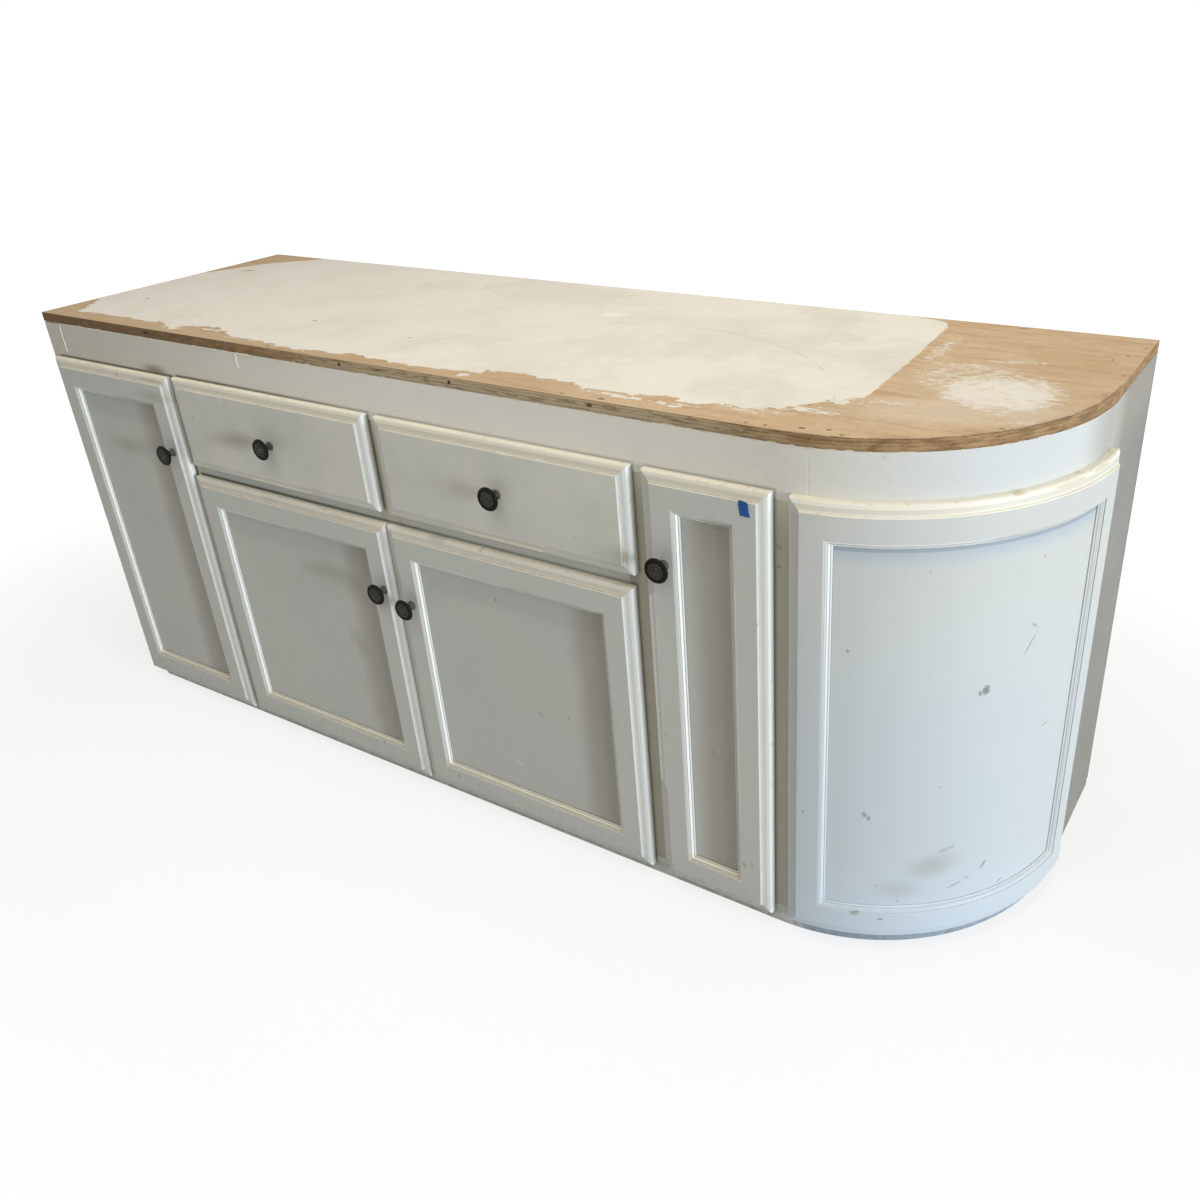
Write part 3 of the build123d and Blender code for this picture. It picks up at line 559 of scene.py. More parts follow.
def plain_paint(name, part_names, upright, base, marks=(), soiled=1.0, high=None):
    """Paint for boards without moulding, with seams and marks at places in the room.

    The high colour, where one is given, shows at the top and fades into the base below it."""
    finish = Finish(name)
    round_the_end = finish.step(finish.x, CORNER[0] - 0.001, CORNER[0] + 0.001)
    across = finish.x + round_the_end * (unrolled(finish) + CORNER[0] - finish.x)
    strokes = brushed(finish, across, finish.z, upright)
    cloud, grain, speck = mottles(finish, 4.0)
    colour = finish.mix(finish.step(finish.z, 0.71, 0.83), base, high) if high else base
    colour = finish.mix(finish.step(cloud, 0.30, 0.70) * 0.12, colour, tone(180, 184, 184))
    colour = finish.mix((strokes - 0.5) * 0.14 + 0.04, colour, tone(180, 174, 156))
    haze = finish.step(cloud * 0.5 + grain * 0.5, 0.50, 0.70)
    colour = finish.mix(haze * (0.14 * soiled), colour, tone(160, 148, 118))
    ledge = finish.step(finish.facing[2], 0.5, 0.9)
    colour = finish.mix(ledge * 0.6, colour, GLAZE)
    chips = chipped(finish, grain, speck)
    colour = finish.mix(chips * 0.5, colour, GLAZE)
    floor_dirt = finish.step(finish.z, 0.05, 0.0) * finish.step(grain, 0.34, 0.65)
    colour = finish.mix(floor_dirt * 0.35, colour, GLAZE)
    # Grime and painted shade beside every front.
    colour = finish.mix(grime_and_shade_beside_fronts(finish), colour, tone(64, 58, 46))
    colour = add_marks(finish, colour, across, finish.z, in_metres(marks))
    roughness = grain * 0.16 + chips * 0.2 + 0.42
    relief = strokes * 0.6 + speck * 0.2 + grain * 0.2
    dress(finish.finish(colour, roughness, relief, 0.00015), *part_names)


# %% [markdown]
# The rails have a few long traces of caulk, two seams and wide faint tints of painted light and
# shade: warm and brighter in the middle, cool round the curved end where the window lights it,
# darker at the far left and greyer where the rail meets the end panel. The stiles between the
# fronts are dingier, because nobody wipes in there. The end panel on the right is painted a
# darker grey: partly an older board, partly painted shade. The curved low rail is painted
# blue-grey, as painted shade in the cool window light.

# %% The frame's own colours and marks
CAULK = tone(246, 243, 230)
RAIL_MARKS = [
    (-439.5, 843, 0.8, 15, 0, SOOT, 0.6), (-1000.5, 822, 0.8, 34, 0, SMUDGE_AND_SHADOW, 0.5),
    (-660, 856.5, 50, 2, 0, CAULK, 0.9), (-860, 856.5, 70, 1.6, 0, CAULK, 0.8),
    (720, 820, 1.2, 42, 0, CAULK, 0.8), (722.5, 820, 0.7, 40, 0, SMUDGE_AND_SHADOW, 0.4),
    (826, 851, 4, 3.5, 0, SMUDGE_AND_SHADOW, 0.3), (-701, 794, 42, 12, 0, SMUDGE_AND_SHADOW, 0.8),
    # The next four wide tints are painted light and shade along the rail and round the end.
    (-950, 830, 420, 120, 0, SMUDGE_AND_SHADOW, 0.2), (100, 830, 600, 120, 0, tone(252, 250, 242), 0.7),
    (1030, 830, 300, 120, 0, tone(206, 211, 214), 0.75),
    (1240, 830, 85, 120, 0, tone(160, 158, 150), 0.75)]
STILE_MARKS = [
    (676, 705, 5, 5, 0, SMUDGE_AND_SHADOW, 0.6), (676, 674, 4, 4, 0, SMUDGE_AND_SHADOW, 0.6)]
# On the side: a soot mark, and a wide pale tint that is painted light at its front top.
SIDE_MARKS = [(1200, 240, 4, 8, 0, SOOT, 0.6), (1265, 840, 70, 160, 0, tone(188, 186, 178), 0.7)]
# The end panel's grey: partly an older board, partly painted shade.
OLD_AND_SHADED_GREY = tone(120, 118, 110)
plain_paint("rail paint", ("frame_top_rail", "curved_top_rail", "frame_left_stile"), 0.0,
            tone(237, 234, 223), RAIL_MARKS, 0.6)
plain_paint("low rail paint", ("frame_bottom_rail", "frame_mid_rails"), 0.0, tone(213, 214, 210),
            soiled=1.1)
# Blue-grey: painted shade in the cool window light.
plain_paint("curved low rail paint", ("curved_bottom_rail",), 0.0, tone(160, 178, 194), soiled=1.1)
plain_paint("stile paint", ("frame_stile_1", "frame_centre_stile"), 1.0, tone(204, 199, 182),
            high=tone(230, 225, 205))
plain_paint("dingy stile paint", ("frame_stile_3", "frame_end_stile"), 1.0, tone(184, 180, 162),
            STILE_MARKS, 1.4, tone(232, 226, 202))
plain_paint("skin paint", ("curved_skin",), 1.0, tone(222, 221, 212))
plain_paint("side paint", ("right_side", "left_side"), 1.0, OLD_AND_SHADED_GREY, SIDE_MARKS, 1.2,
            tone(140, 134, 122))

# %% [markdown]
# ## Bare wood
#
# Inside, the cabinet is plywood boxes and pine drawers without any finish. Wood grain is noise
# stretched along one direction, and a second noise bends the lines a little. The back panel's
# right edge shows beside the end panel, so it is painted over there.

# %% The wood of the boards
def wood(name, light, dark, along=0):
    """Bare wood with its grain along one axis."""
    finish = Finish(name)
    bend = finish.noise(finish.place, 3.0, 2.0)
    axes = [finish.x, finish.y, finish.z]
    stretched = [axis * (0.06 if number == along else 1.0) for number, axis in enumerate(axes)]
    stretched[(along + 1) % 3] += bend * 0.02
    lines = finish.point(*stretched)
    grain = finish.noise(lines, 60.0, 5.0, 0.6)
    pores = finish.noise(lines, 800.0, 2.0)
    cloud = finish.noise(finish.place, 6.0, 3.0)
    colour = finish.mix(finish.step(grain, 0.36, 0.66) * 0.7, light, dark)
    colour = finish.mix(finish.step(pores, 0.55, 0.75) * 0.35, colour, dark)
    colour = finish.mix(finish.step(cloud, 0.4, 0.7) * 0.3, colour, dark)
    painted_end = finish.step(finish.x, 1.020, 1.030) * finish.step(finish.facing[0], 0.5, 0.8)
    colour = finish.mix(painted_end, colour, OLD_AND_SHADED_GREY)
    return finish.finish(colour, pores * 0.15 + 0.72, grain * 0.6 + pores * 0.4, 0.0003)


box_wood = wood("box plywood", tone(208, 184, 146), tone(178, 148, 108), along=2)
level_wood = wood("shelf plywood", tone(212, 188, 150), tone(184, 154, 114), along=0)
drawer_wood = wood("drawer wood", tone(222, 196, 154), tone(194, 160, 114), along=1)
dress(box_wood, "partitions", "back_panel", "curved_ribs")
dress(level_wood, "floor_deck", "shelves", "floor_bearers", "drawer_packers")
dress(drawer_wood, *[part for part in parts if part.startswith("drawer_")
                     and part.endswith(("_sides", "_ends", "_bottom"))])

# %% [markdown]
# ## The plywood top
#
# The sub-top was never meant to be seen: tan face veneer with grain along the cabinet, nail
# holes, a crack, and a sawn edge. Its face is built from stretched noises, mottled by a finer
# one, greyer at the far left end, and worn dark along the rim of the rounded corner.

# %% The face veneer
HOLES = [
    (699.5, -265.3, 5.5, 3.5, 0), (735, -257.6, 5, 3, 0), (990.7, 197.3, 3, 3, 0),
    (1006, 226.7, 3, 3, 0), (649.5, -275.3, 3.5, 3, 0), (379.2, -275, 7, 4, 0),
    (-351.7, -276, 4, 3, 0), (820.3, 322, 12, 2, 8)]


def veneer(finish, mottle):
    """The face's colour, with its grain and its pores."""
    bend = finish.noise(finish.place, 2.5, 2.0)
    lines = finish.point(finish.x * 0.16, finish.y + bend * 0.02, finish.z)
    grain = finish.noise(lines, 150.0, 6.0, 0.7)
    pores = finish.noise(finish.point(finish.x * 0.16, finish.y, finish.z), 620.0, 3.0)
    cloud = finish.noise(finish.point(finish.x * 0.5, finish.y, finish.z), 10.0, 4.0)
    long_lines = finish.noise(finish.point(finish.x * 0.12, finish.y, 0.0), 42.0, 5.0, 0.7)
    grained = finish.step(grain, 0.36, 0.68) * 0.40
    colour = finish.mix(grained, tone(211, 187, 154), tone(184, 154, 120))
    colour = finish.mix(finish.step(mottle, 0.42, 0.64) * 0.45, colour, tone(190, 160, 124))
    colour = finish.mix(finish.step(cloud, 0.42, 0.66) * 0.40, colour, tone(186, 152, 114))
    colour = finish.mix(finish.step(pores, 0.56, 0.74) * 0.30, colour, tone(150, 122, 92))
    colour = finish.mix(finish.step(finish.x, 0.7, -0.3) * 0.70, colour, tone(172, 150, 120))
    colour = finish.mix(finish.step(long_lines, 0.48, 0.66) * 0.45, colour, tone(162, 128, 90))
    return colour, grain, pores


def worn_rim(finish, mottle):
    """Where the rounded corner's rim has gone dark."""
    from_corner = finish.point(finish.x - CORNER[0], finish.y - CORNER[1], 0.0)
    reach = finish.node("VectorMath", {"operation": "LENGTH"}, {0: from_corner}, 1)
    rounded = finish.step(finish.x, CORNER[0] - 0.02, CORNER[0] + 0.02)
    rounded = rounded * finish.step(finish.y, CORNER[1] + 0.02, CORNER[1])
    return finish.step(reach, 0.3490, 0.3535) * rounded * finish.step(mottle, 0.34, 0.52)


# %% [markdown]
# Near the right end someone wiped a patch of filler over the face, and thin streaks of it lie
# along the adhesive. A wiped film shows the wood through its brush strokes, so its mask is a
# soft ellipse plus stroke noise, cut off by a step. The thick part sits off the patch's middle.

# %% Wiped filler
STREAKS = [
    (800, 85, 100, 14, 8), (950, -130, 60, 16, 25), (760, -125, 100, 14, 12), (640, -222, 50, 12, 0),
    (700, -200, 45, 14, 10), (360, -252, 80, 8, 4), (500, -250, 70, 7, 3), (-640, -262, 30, 14, 20),
    (104, -267, 16, 6, 0), (-470, -262, 50, 6, 5), (740, 150, 20, 120, 0), (600, -236, 50, 10, 0),
    (860, 130, 80, 12, 14), (780, 30, 60, 20, 10)]


def wiped_filler(finish, mottle, fine):
    turn = math.radians(14)
    run = finish.x * math.cos(turn) + finish.y * math.sin(turn)
    cross = finish.y * math.cos(turn) - finish.x * math.sin(turn)
    strokes = finish.noise(finish.point(run * 0.16, cross, 0.0), 250.0, 6.0, 0.75)

    def soft(spot, start, end):
        return finish.step(finish.ellipse(finish.x, finish.y, spot), start, end)

    patch = soft((0.862, 0.006, 0.132, 0.100, -22), 1.40, 0.55)
    thick = soft((0.893, -0.040, 0.086, 0.088, -30), 1.25, 0.55)
    ragged = (strokes - 0.5) * 2.1 + (mottle - 0.5) * 1.3
    wiped = finish.step(patch * 0.52 + thick * 0.36 + ragged, 0.32, 0.86)
    for spot in in_metres(STREAKS):
        away = finish.ellipse(finish.x, finish.y, spot)
        streak = finish.step(away, 1.5, 0.2) * 0.5 + (strokes - 0.5) * 1.3 + (fine - 0.5)
        wiped = wiped.most(finish.step(streak, 0.34, 0.70) * finish.step(away, 1.6, 1.0) * 0.85)
    return wiped.most(soft((0.860, -0.120, 0.150, 0.060, 20), 1.5, 0.3) * 0.30)


# %% [markdown]
# The sawn edge is rougher and darker than the face, because dirt soaks into end grain. Its
# plies show as faint dark lines, and it is dark along its top arris and at its foot, where the
# dark line is painted shade in the joint below. It is darker at the left and worn light near the
# middle, where people lean on it.

# %% The sawn edge
EDGE_HOLES = [(-697.6, 868, 6, 3.5, 0), (365, 868, 6, 3.5, 0), (-160, 868, 4, 3.5, 0),
              (90, 868, 4, 3.5, 0)]
PLY_FOOT = 0.858
PLY = 0.0026


def sawn_edge(finish, fine):
    """The edge's colour and its torn fibres."""
    torn = finish.noise(finish.point(finish.x * 0.22, finish.y * 0.22, finish.z), 170.0, 5.0, 0.72)
    stretched = finish.point(finish.x * 0.5, finish.y * 0.5, finish.z * 1.5)
    blotch = finish.step(finish.noise(stretched, 60.0, 4.0, 0.6), 0.36, 0.64)
    colour = finish.mix(blotch, tone(182, 150, 108), tone(146, 113, 76))
    colour = finish.mix(finish.step(finish.x, -0.1, -0.8) * 0.70, colour, tone(92, 72, 48))
    colour = finish.mix(finish.band(finish.x, 0.18, 0.25, 0.35) * 0.8, colour, tone(206, 192, 160))
    layer = ((finish.z - PLY_FOOT) / PLY + (torn - 0.5) * 1.4).maths("PINGPONG", 1.0)
    colour = finish.mix(finish.step(layer, 0.30, 0.70) * 0.28, colour, tone(102, 75, 46))
    colour = finish.mix(finish.step(torn, 0.52, 0.66) * 0.55, colour, tone(86, 62, 38))
    colour = finish.mix(finish.step(torn, 0.42, 0.30) * 0.4, colour, tone(180, 148, 106))
    # Dark lines along the top arris and the foot; the foot's line is painted shade in the joint.
    borders = finish.step(finish.z, 0.8748, 0.8757).most(finish.step(finish.z, 0.8594, 0.8584))
    colour = finish.mix(borders * 0.6, colour, tone(74, 56, 38))
    return spotted(finish, colour, finish.x, finish.z, EDGE_HOLES, fine, 1.0, tone(30, 22, 16)), torn


def top_wood():
    finish = Finish("sub-top plywood")
    fine = finish.noise(finish.place, 150.0, 4.0, 0.65)
    mottle = finish.noise(finish.place, 60.0, 5.0, 0.7)
    colour, grain, pores = veneer(finish, mottle)
    wiped = wiped_filler(finish, mottle, fine)
    colour = finish.mix(wiped * 0.90, colour, tone(236, 233, 224))
    colour = finish.mix(worn_rim(finish, mottle) * 0.7, colour, tone(112, 86, 60))
    colour = spotted(finish, colour, finish.x, finish.y, HOLES, fine, 0.8, tone(62, 48, 34))
    edge_colour, torn = sawn_edge(finish, fine)
    edge = finish.step(abs(finish.facing[2]), 0.6, 0.4)
    height = grain * 0.4 + pores * 0.2 + wiped * 0.4 + edge * torn * 2.0
    return finish.finish(finish.mix(edge, colour, edge_colour), pores * 0.15 + 0.70, height, 0.0005)


dress(top_wood(), "plywood_top")

# %% [markdown]
# ## Old adhesive
#
# A worktop was once glued down here, and a thin off-white skim of adhesive stayed behind. It has
# a real edge that can be felt, so it is made as a thin sheet. Its border starts as a given outline
# in millimetres. Noise pushes that outline in and out, so that the value below is above zero where
# adhesive lies, with ragged bays and islands as a brush leaves them.

# %% A field that is above zero where adhesive lies
import numpy as np
from mathutils import Vector, noise

GRID = 0.0025
SKIM_OUTLINE = [
    (-969, -246), (-864, -249), (-771, -246), (-701, -243), (-640, -278), (-629, -262), (-645, -245),
    (-610, -228), (-549, -227), (-479, -256), (-420, -262), (-279, -268), (-184, -262), (-179, -245),
    (-144, -256), (-75, -259), (-8, -262), (66, -257), (118, -249), (124, -235), (175, -225),
    (242, -228), (289, -230), (325, -248), (397, -238), (465, -223), (490, -244), (528, -244),
    (540, -229), (585, -226), (640, -206), (653, -178), (685, -150), (724, -118), (723, -58),
    (719, 37), (715, 112), (709, 182), (702, 286), (694, 306), (671, 320), (633, 328), (583, 332),
    (407, 334), (-315, 334), (-880, 334), (-891, 315), (-937, 275), (-984, 229), (-1004, 181),
    (-1040, 113), (-1050, 20), (-1050, -84), (-1042, -152), (-1010, -198)]
DABS = [
    (104, -268, 12, 6), (670, -200, 30, 8), (700, -146, 30, 7), (-655, -262, 20, 6),
    (420, -256, 50, 4), (-560, -240, 18, 6)]


def outline_distance(x, y):
    """Distance inside the outline, below zero outside it, for arrays of places."""
    nearest = np.full(x.shape, 9.0)
    crossings = np.zeros(x.shape, int)
    corners = [(corner_x / 1000, corner_y / 1000) for corner_x, corner_y in SKIM_OUTLINE]
    for (ax, ay), (bx, by) in zip(corners, corners[1:] + corners[:1]):
        along = ((x - ax) * (bx - ax) + (y - ay) * (by - ay)) / ((bx - ax) ** 2 + (by - ay) ** 2)
        along = np.clip(along, 0, 1)
        gap = np.hypot(x - ax - along * (bx - ax), y - ay - along * (by - ay))
        nearest = np.minimum(nearest, gap)
        if ay != by:
            crossings += ((ay > y) != (by > y)) & (x < (bx - ax) * (y - ay) / (by - ay) + ax)
    return np.where(crossings % 2 == 1, nearest, -nearest)


grid_x = np.arange(-1.0515, 0.760, GRID)
grid_y = np.arange(-0.2895, 0.3355, GRID)
place_x, place_y = np.meshgrid(grid_x, grid_y, indexing="ij")
cover = outline_distance(place_x, place_y)
for dab_x, dab_y, radius_x, radius_y in in_metres(DABS):
    away = np.hypot((place_x - dab_x) / radius_x, (place_y - dab_y) / radius_y)
    cover = np.maximum(cover, (1 - away) * radius_y)
for column, row in zip(*np.nonzero(np.abs(cover) < 0.045)):
    x, y = place_x[column, row], place_y[column, row]
    loose = min(max((-0.10 - y) / 0.08, 0.25), 1.0)
    broad = noise.noise(Vector((x * 14, y * 20, 3.0)))
    stroke = noise.noise(Vector((x * 55, y * 150, 8.0)))
    small = noise.noise(Vector((x * 190, y * 260, 5.0)))
    cover[column, row] += (broad * 0.011 + stroke * 0.010 + small * 0.004) * loose
board_edge = np.minimum.reduce([place_x + 1.0475, 0.3315 - place_y, place_y + 0.2835])
cover = np.minimum(cover, board_edge)
print("adhesive covers", round(float((cover > 0).sum()) * GRID * GRID, 3), "square metres")

# %% [markdown]
# A walk over the grid finds where the field crosses zero on each small triangle. Those points
# are the border, and a triangulation that respects the border fills it. It also fills the
# bays, so triangles whose middle lies outside are dropped afterwards.

# %% Walk the grid and fill the border
from mathutils.geometry import delaunay_2d_cdt


def border_lines(field):
    """Points where the field crosses zero on the grid's lines, and the pairs that join them."""
    points, pairs, known = [], [], {}

    def crossing(first, second):
        key = (first, second) if first < second else (second, first)
        if key not in known:
            share = field[key[0]] / (field[key[0]] - field[key[1]])
            known[key] = len(points)
            points.append(tuple(grid[key[0]] + share * (grid[key[1]] - grid[key[0]])
                                for grid in (place_x, place_y)))
        return known[key]

    inside = field > 0
    corners = inside[:-1, :-1].astype(int) + inside[1:, :-1] + inside[:-1, 1:] + inside[1:, 1:]
    for i, j in zip(*np.nonzero((corners > 0) & (corners < 4))):
        i, j = int(i), int(j)
        for triangle in (((i, j), (i + 1, j), (i + 1, j + 1)), ((i, j), (i + 1, j + 1), (i, j + 1))):
            edges = [crossing(a, b) for a, b in zip(triangle, triangle[1:] + triangle[:1])
                     if inside[a] != inside[b]]
            if len(edges) == 2:
                pairs.append(tuple(edges))
    return points, pairs


def field_at(x, y):
    """The cover field at the nearest place of the grid."""
    column = min(max(int(round((x - grid_x[0]) / GRID)), 0), len(grid_x) - 1)
    row = min(max(int(round((y - grid_y[0]) / GRID)), 0), len(grid_y) - 1)
    return cover[column, row]


border, joined = border_lines(cover)
inner = [(x, y) for x in np.arange(-1.03, 0.72, 0.03) for y in np.arange(-0.27, 0.33, 0.03)
         if field_at(x, y) > 0.012]
flat_points = [Vector(point) for point in border + inner]
sheet_points, _, triangles, *_ = delaunay_2d_cdt(flat_points, joined, [], 0, 1e-6)
sheet_faces = []
for face in triangles:
    middle_x = sum(sheet_points[index].x for index in face) / 3
    middle_y = sum(sheet_points[index].y for index in face) / 3
    if field_at(middle_x, middle_y) > 0:
        sheet_faces.append(face)
print(len(sheet_points), "points,", len(sheet_faces), "of", len(triangles), "triangles kept")

# %% [markdown]
# The adhesive's finish is chalky. Scraping left faint arcs in it, and it is a little pinker and
# greyer at the far end than at the near one. Fine relief is bump, which is enough for a skim
# that is only half a millimetre thick.

# %% The adhesive's finish
SCRAPES = [(-0.13, 0.40, 0.22), (-0.36, 0.33, 0.14), (0.30, -0.30, 0.42)]
PITS = [
    (-953, 164, 20, 6, 30), (-930, -120, 4, 8, 0), (-413, -113, 6, 4, 0), (-142, -133, 5, 3, 0),
    (683, -150, 5, 3, 0)]


def chalky():
    finish = Finish("chalky adhesive")
    cloud = finish.noise(finish.place, 6.0, 5.0, 0.6)
    fine = finish.noise(finish.place, 120.0, 5.0, 0.7)
    combed = finish.noise(finish.point(finish.x * 0.12, finish.y, 0.0), 140.0, 4.0, 0.65)
    speck = finish.noise(finish.place, 330.0, 2.0, 0.6)
    near_end = finish.step(finish.x, -0.9, 0.7)
    colour = finish.mix(near_end, tone(224, 219, 213), tone(235, 233, 222))
    colour = finish.mix(finish.step(cloud, 0.40, 0.66) * 0.55, colour, tone(214, 208, 199))
    colour = finish.mix(finish.step(combed, 0.50, 0.70) * 0.35, colour, tone(241, 239, 232))
    colour = finish.mix(finish.step(speck, 0.72, 0.78) * 0.5, colour, tone(168, 152, 124))
    for middle_x, middle_y, radius in SCRAPES:
        ring = finish.ellipse(finish.x, finish.y, (middle_x, middle_y, 1.0, 1.0, 0))
        scratch = finish.band(ring, radius, 0.0006, 0.0016) * finish.step(cloud, 0.42, 0.55)
        colour = finish.mix(scratch * 0.5, colour, tone(196, 188, 170))
    colour = spotted(finish, colour, finish.x, finish.y, PITS, fine, 0.7, tone(132, 118, 96))
    pale = finish.ellipse(finish.x, finish.y, (0.113, 0.142, 0.030, 0.016, 10)) + (fine - 0.5)
    colour = finish.mix(finish.step(pale, 1.2, 0.5) * 0.6, colour, tone(246, 244, 236))
    return finish.finish(colour, 0.86, cloud * 0.4 + combed * 0.35 + fine * 0.25, 0.0012)


# %% [markdown]
# The triangles are lifted by the skim's thickness, and a skirt at the border reaches just into
# the wood, so that no light shows under it. Every piece of this lesson ends as one object that
# rides on the body it is stuck to, so one helper does that for all of them.

# %% Pieces, and the sheet of adhesive
import bmesh

TOP = 0.876
SKIM = 0.0006


def object_from(name, mesh):
    """A new object in the scene, from finished mesh data."""
    data = bpy.data.meshes.new(name)
    mesh.to_mesh(data)
    mesh.free()
    made = bpy.data.objects.new(name, data)
    bpy.context.scene.collection.objects.link(made)
    return made


def piece(name, mesh, material, body, smooth=True, sheet=False):
    """Turns mesh data into an object that rides on a body. A sheet's faces look up."""
    bmesh.ops.recalc_face_normals(mesh, faces=mesh.faces)
    if sheet and sum(face.normal.z for face in mesh.faces) < 0:
        bmesh.ops.reverse_faces(mesh, faces=mesh.faces)
    for face in mesh.faces:
        face.smooth = smooth
    made = object_from(name, mesh)
    made.data.materials.append(material)
    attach(made, body)
    print(name, "has", len(made.data.polygons), "faces")


skim = bmesh.new()
vertices = [skim.verts.new((x, y, TOP + SKIM)) for x, y in sheet_points]
for face in sheet_faces:
    skim.faces.new([vertices[index] for index in face])
for vertex in [vertex for vertex in skim.verts if not vertex.link_faces]:
    skim.verts.remove(vertex)
rim = [edge for edge in skim.edges if len(edge.link_faces) == 1]
for item in bmesh.ops.extrude_edge_only(skim, edges=rim)["geom"]:
    if isinstance(item, bmesh.types.BMVert):
        item.co.z = TOP - 0.0002
piece("adhesive_skim", skim, chalky(), "cabinet", smooth=False, sheet=True)

# %% [markdown]
# ## Knobs
#
# The knobs are dark oil-rubbed bronze: nearly black, with dull metal showing where fingers
# rub, which is the middle of the button and the neck behind it. The flutes round the rim are
# a sine of the angle round the knob's own axis, pressed in as bump.

# %% Bronze
def bronze(name, middle):
    finish = Finish(name)
    aside = finish.x - middle.x
    above = finish.z - middle.z
    radius = (aside * aside + above * above).maths("SQRT")
    angle = aside.maths("ARCTAN2", above)
    worn = finish.noise(finish.place, 620.0, 4.0, 0.65)
    fine = finish.noise(finish.place, 1400.0, 3.0, 0.6)
    neck = finish.step(finish.y, middle.y - 0.0065, middle.y - 0.0055)
    button = finish.step(radius, 0.0150, 0.0120)
    rubbed = finish.step(worn, 0.46, 0.62) * (button * 0.62 + 0.06) + button * 0.10 + neck * 0.25
    colour = finish.mix(rubbed.least(1.0), tone(10, 10, 9), tone(112, 109, 98))
    colour = finish.mix(finish.step(fine, 0.6, 0.75) * 0.4, colour, tone(12, 12, 11))
    flutes = (angle * 18.0).maths("SINE") * finish.band(radius, 0.0172, 0.0010, 0.0006)
    relief = flutes * 0.5 + fine * 0.2
    return finish.finish(colour, 0.42 + worn * 0.25, relief, 0.0006, metal=0.15, gloss=0.12)


# %% [markdown]
# The turned body of each knob is in the mesh already. Its rosette is cast in relief, a ring of
# beads round a flower with eight petals. They are separate low domes, because they catch
# small glints that bump can't give at this size.

# %% Beads and petals
BEAD_RING = 0.0116
PETAL_RING = 0.0056


def dome(mesh, centre, radius, height, sides=8, rings=3, stretch=1.0, turn=0.0):
    """A low dome that bulges towards the front, stretched along the direction of turn."""
    levels = []
    for ring in range(rings):
        swing = math.pi / 2 * ring / rings
        circle = []
        for side in range(sides):
            angle = math.tau * side / sides
            along = radius * stretch * math.cos(swing) * math.cos(angle)
            over = radius * math.cos(swing) * math.sin(angle)
            x = centre[0] + along * math.cos(turn) - over * math.sin(turn)
            z = centre[2] + along * math.sin(turn) + over * math.cos(turn)
            circle.append(mesh.verts.new((x, centre[1] - height * math.sin(swing), z)))
        levels.append(circle)
    peak = mesh.verts.new((centre[0], centre[1] - height, centre[2]))
    for side in range(sides):
        after = (side + 1) % sides
        for below, above in zip(levels, levels[1:]):
            mesh.faces.new((below[side], above[side], above[after], below[after]))
        mesh.faces.new((levels[-1][side], peak, levels[-1][after]))


def round_the_knob(middle, depth, radius, count):
    """Evenly spaced places on a circle in front of a knob, each with its angle."""
    for number in range(count):
        angle = math.tau * number / count
        yield (middle.x + radius * math.sin(angle), depth, middle.z + radius * math.cos(angle)), angle


for owner in MARKS:
    low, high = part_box(owner + "_knob")
    middle = (low + high) / 2
    metal = bronze(owner + " bronze", middle)
    dress(metal, owner + "_knob")
    rosette = bmesh.new()
    face = low.y + 0.0008
    for spot, angle in round_the_knob(middle, face, BEAD_RING, 20):
        dome(rosette, spot, 0.0013, 0.0007)
    for spot, angle in round_the_knob(middle, face, PETAL_RING, 8):
        dome(rosette, spot, 0.0010, 0.0006, stretch=1.5, turn=math.pi / 2 - angle)
    piece(owner + "_rosette", rosette, metal, owner)

# %% [markdown]
# ## Steel
#
# Hinges, drawer slides and shelf pins are plain zinc-plated steel: grey, fairly glossy, with
# the faint mottling of the plating and a few dull patches. The nails in the top have rusted to
# a matt brown, so the same recipe takes other colours and less metal.

# %% Steel
def plated(name, base, dull, rough, metal):
    finish = Finish(name)
    spangle = finish.noise(finish.place, 240.0, 3.0, 0.6)
    fine = finish.noise(finish.place, 1300.0, 2.0)
    colour = finish.mix(finish.step(spangle, 0.4, 0.65), base, dull)
    return finish.finish(colour, rough + spangle * 0.25, fine, 0.0001, metal=metal)


zinc = plated("zinc steel", tone(186, 188, 190), tone(150, 152, 154), 0.22, 0.9)
nail_steel = plated("rusty nail steel", tone(172, 142, 110), tone(138, 108, 80), 0.6, 0.3)
dress(zinc, "drawer_channels", "hinge_plates", "shelf_pins",
      *[part for part in parts if part.endswith(("_hinges", "_runners"))])
dress(nail_steel, "top_nails")

# %% [markdown]
# ## Blue masking tape
#
# A torn scrap of blue masking tape still sticks to the top right corner of the last door. It is
# a small grid of points that follows the moulding under it, with torn ends and one curled
# corner. Its crepe is a noise squeezed in height.

# %% The scrap of tape
TAPE_LEFT, TAPE_RIGHT, TAPE_LOW, TAPE_HIGH = 0.6245, 0.6400, 0.7520, 0.7750
DOOR_FACE = -0.308
HOLLOW_FROM = 0.7725


def tape_finish():
    finish = Finish("blue masking tape")
    crepe = finish.noise(finish.point(finish.x, finish.y, finish.z * 6.0), 260.0, 3.0, 0.6)
    faded = finish.noise(finish.place, 120.0, 3.0)
    colour = finish.mix(finish.step(crepe, 0.35, 0.65), tone(6, 62, 128), tone(18, 92, 172))
    colour = finish.mix(finish.step(faded, 0.55, 0.75) * 0.4, colour, tone(86, 124, 184))
    return finish.finish(colour, 0.55, crepe, 0.0003)


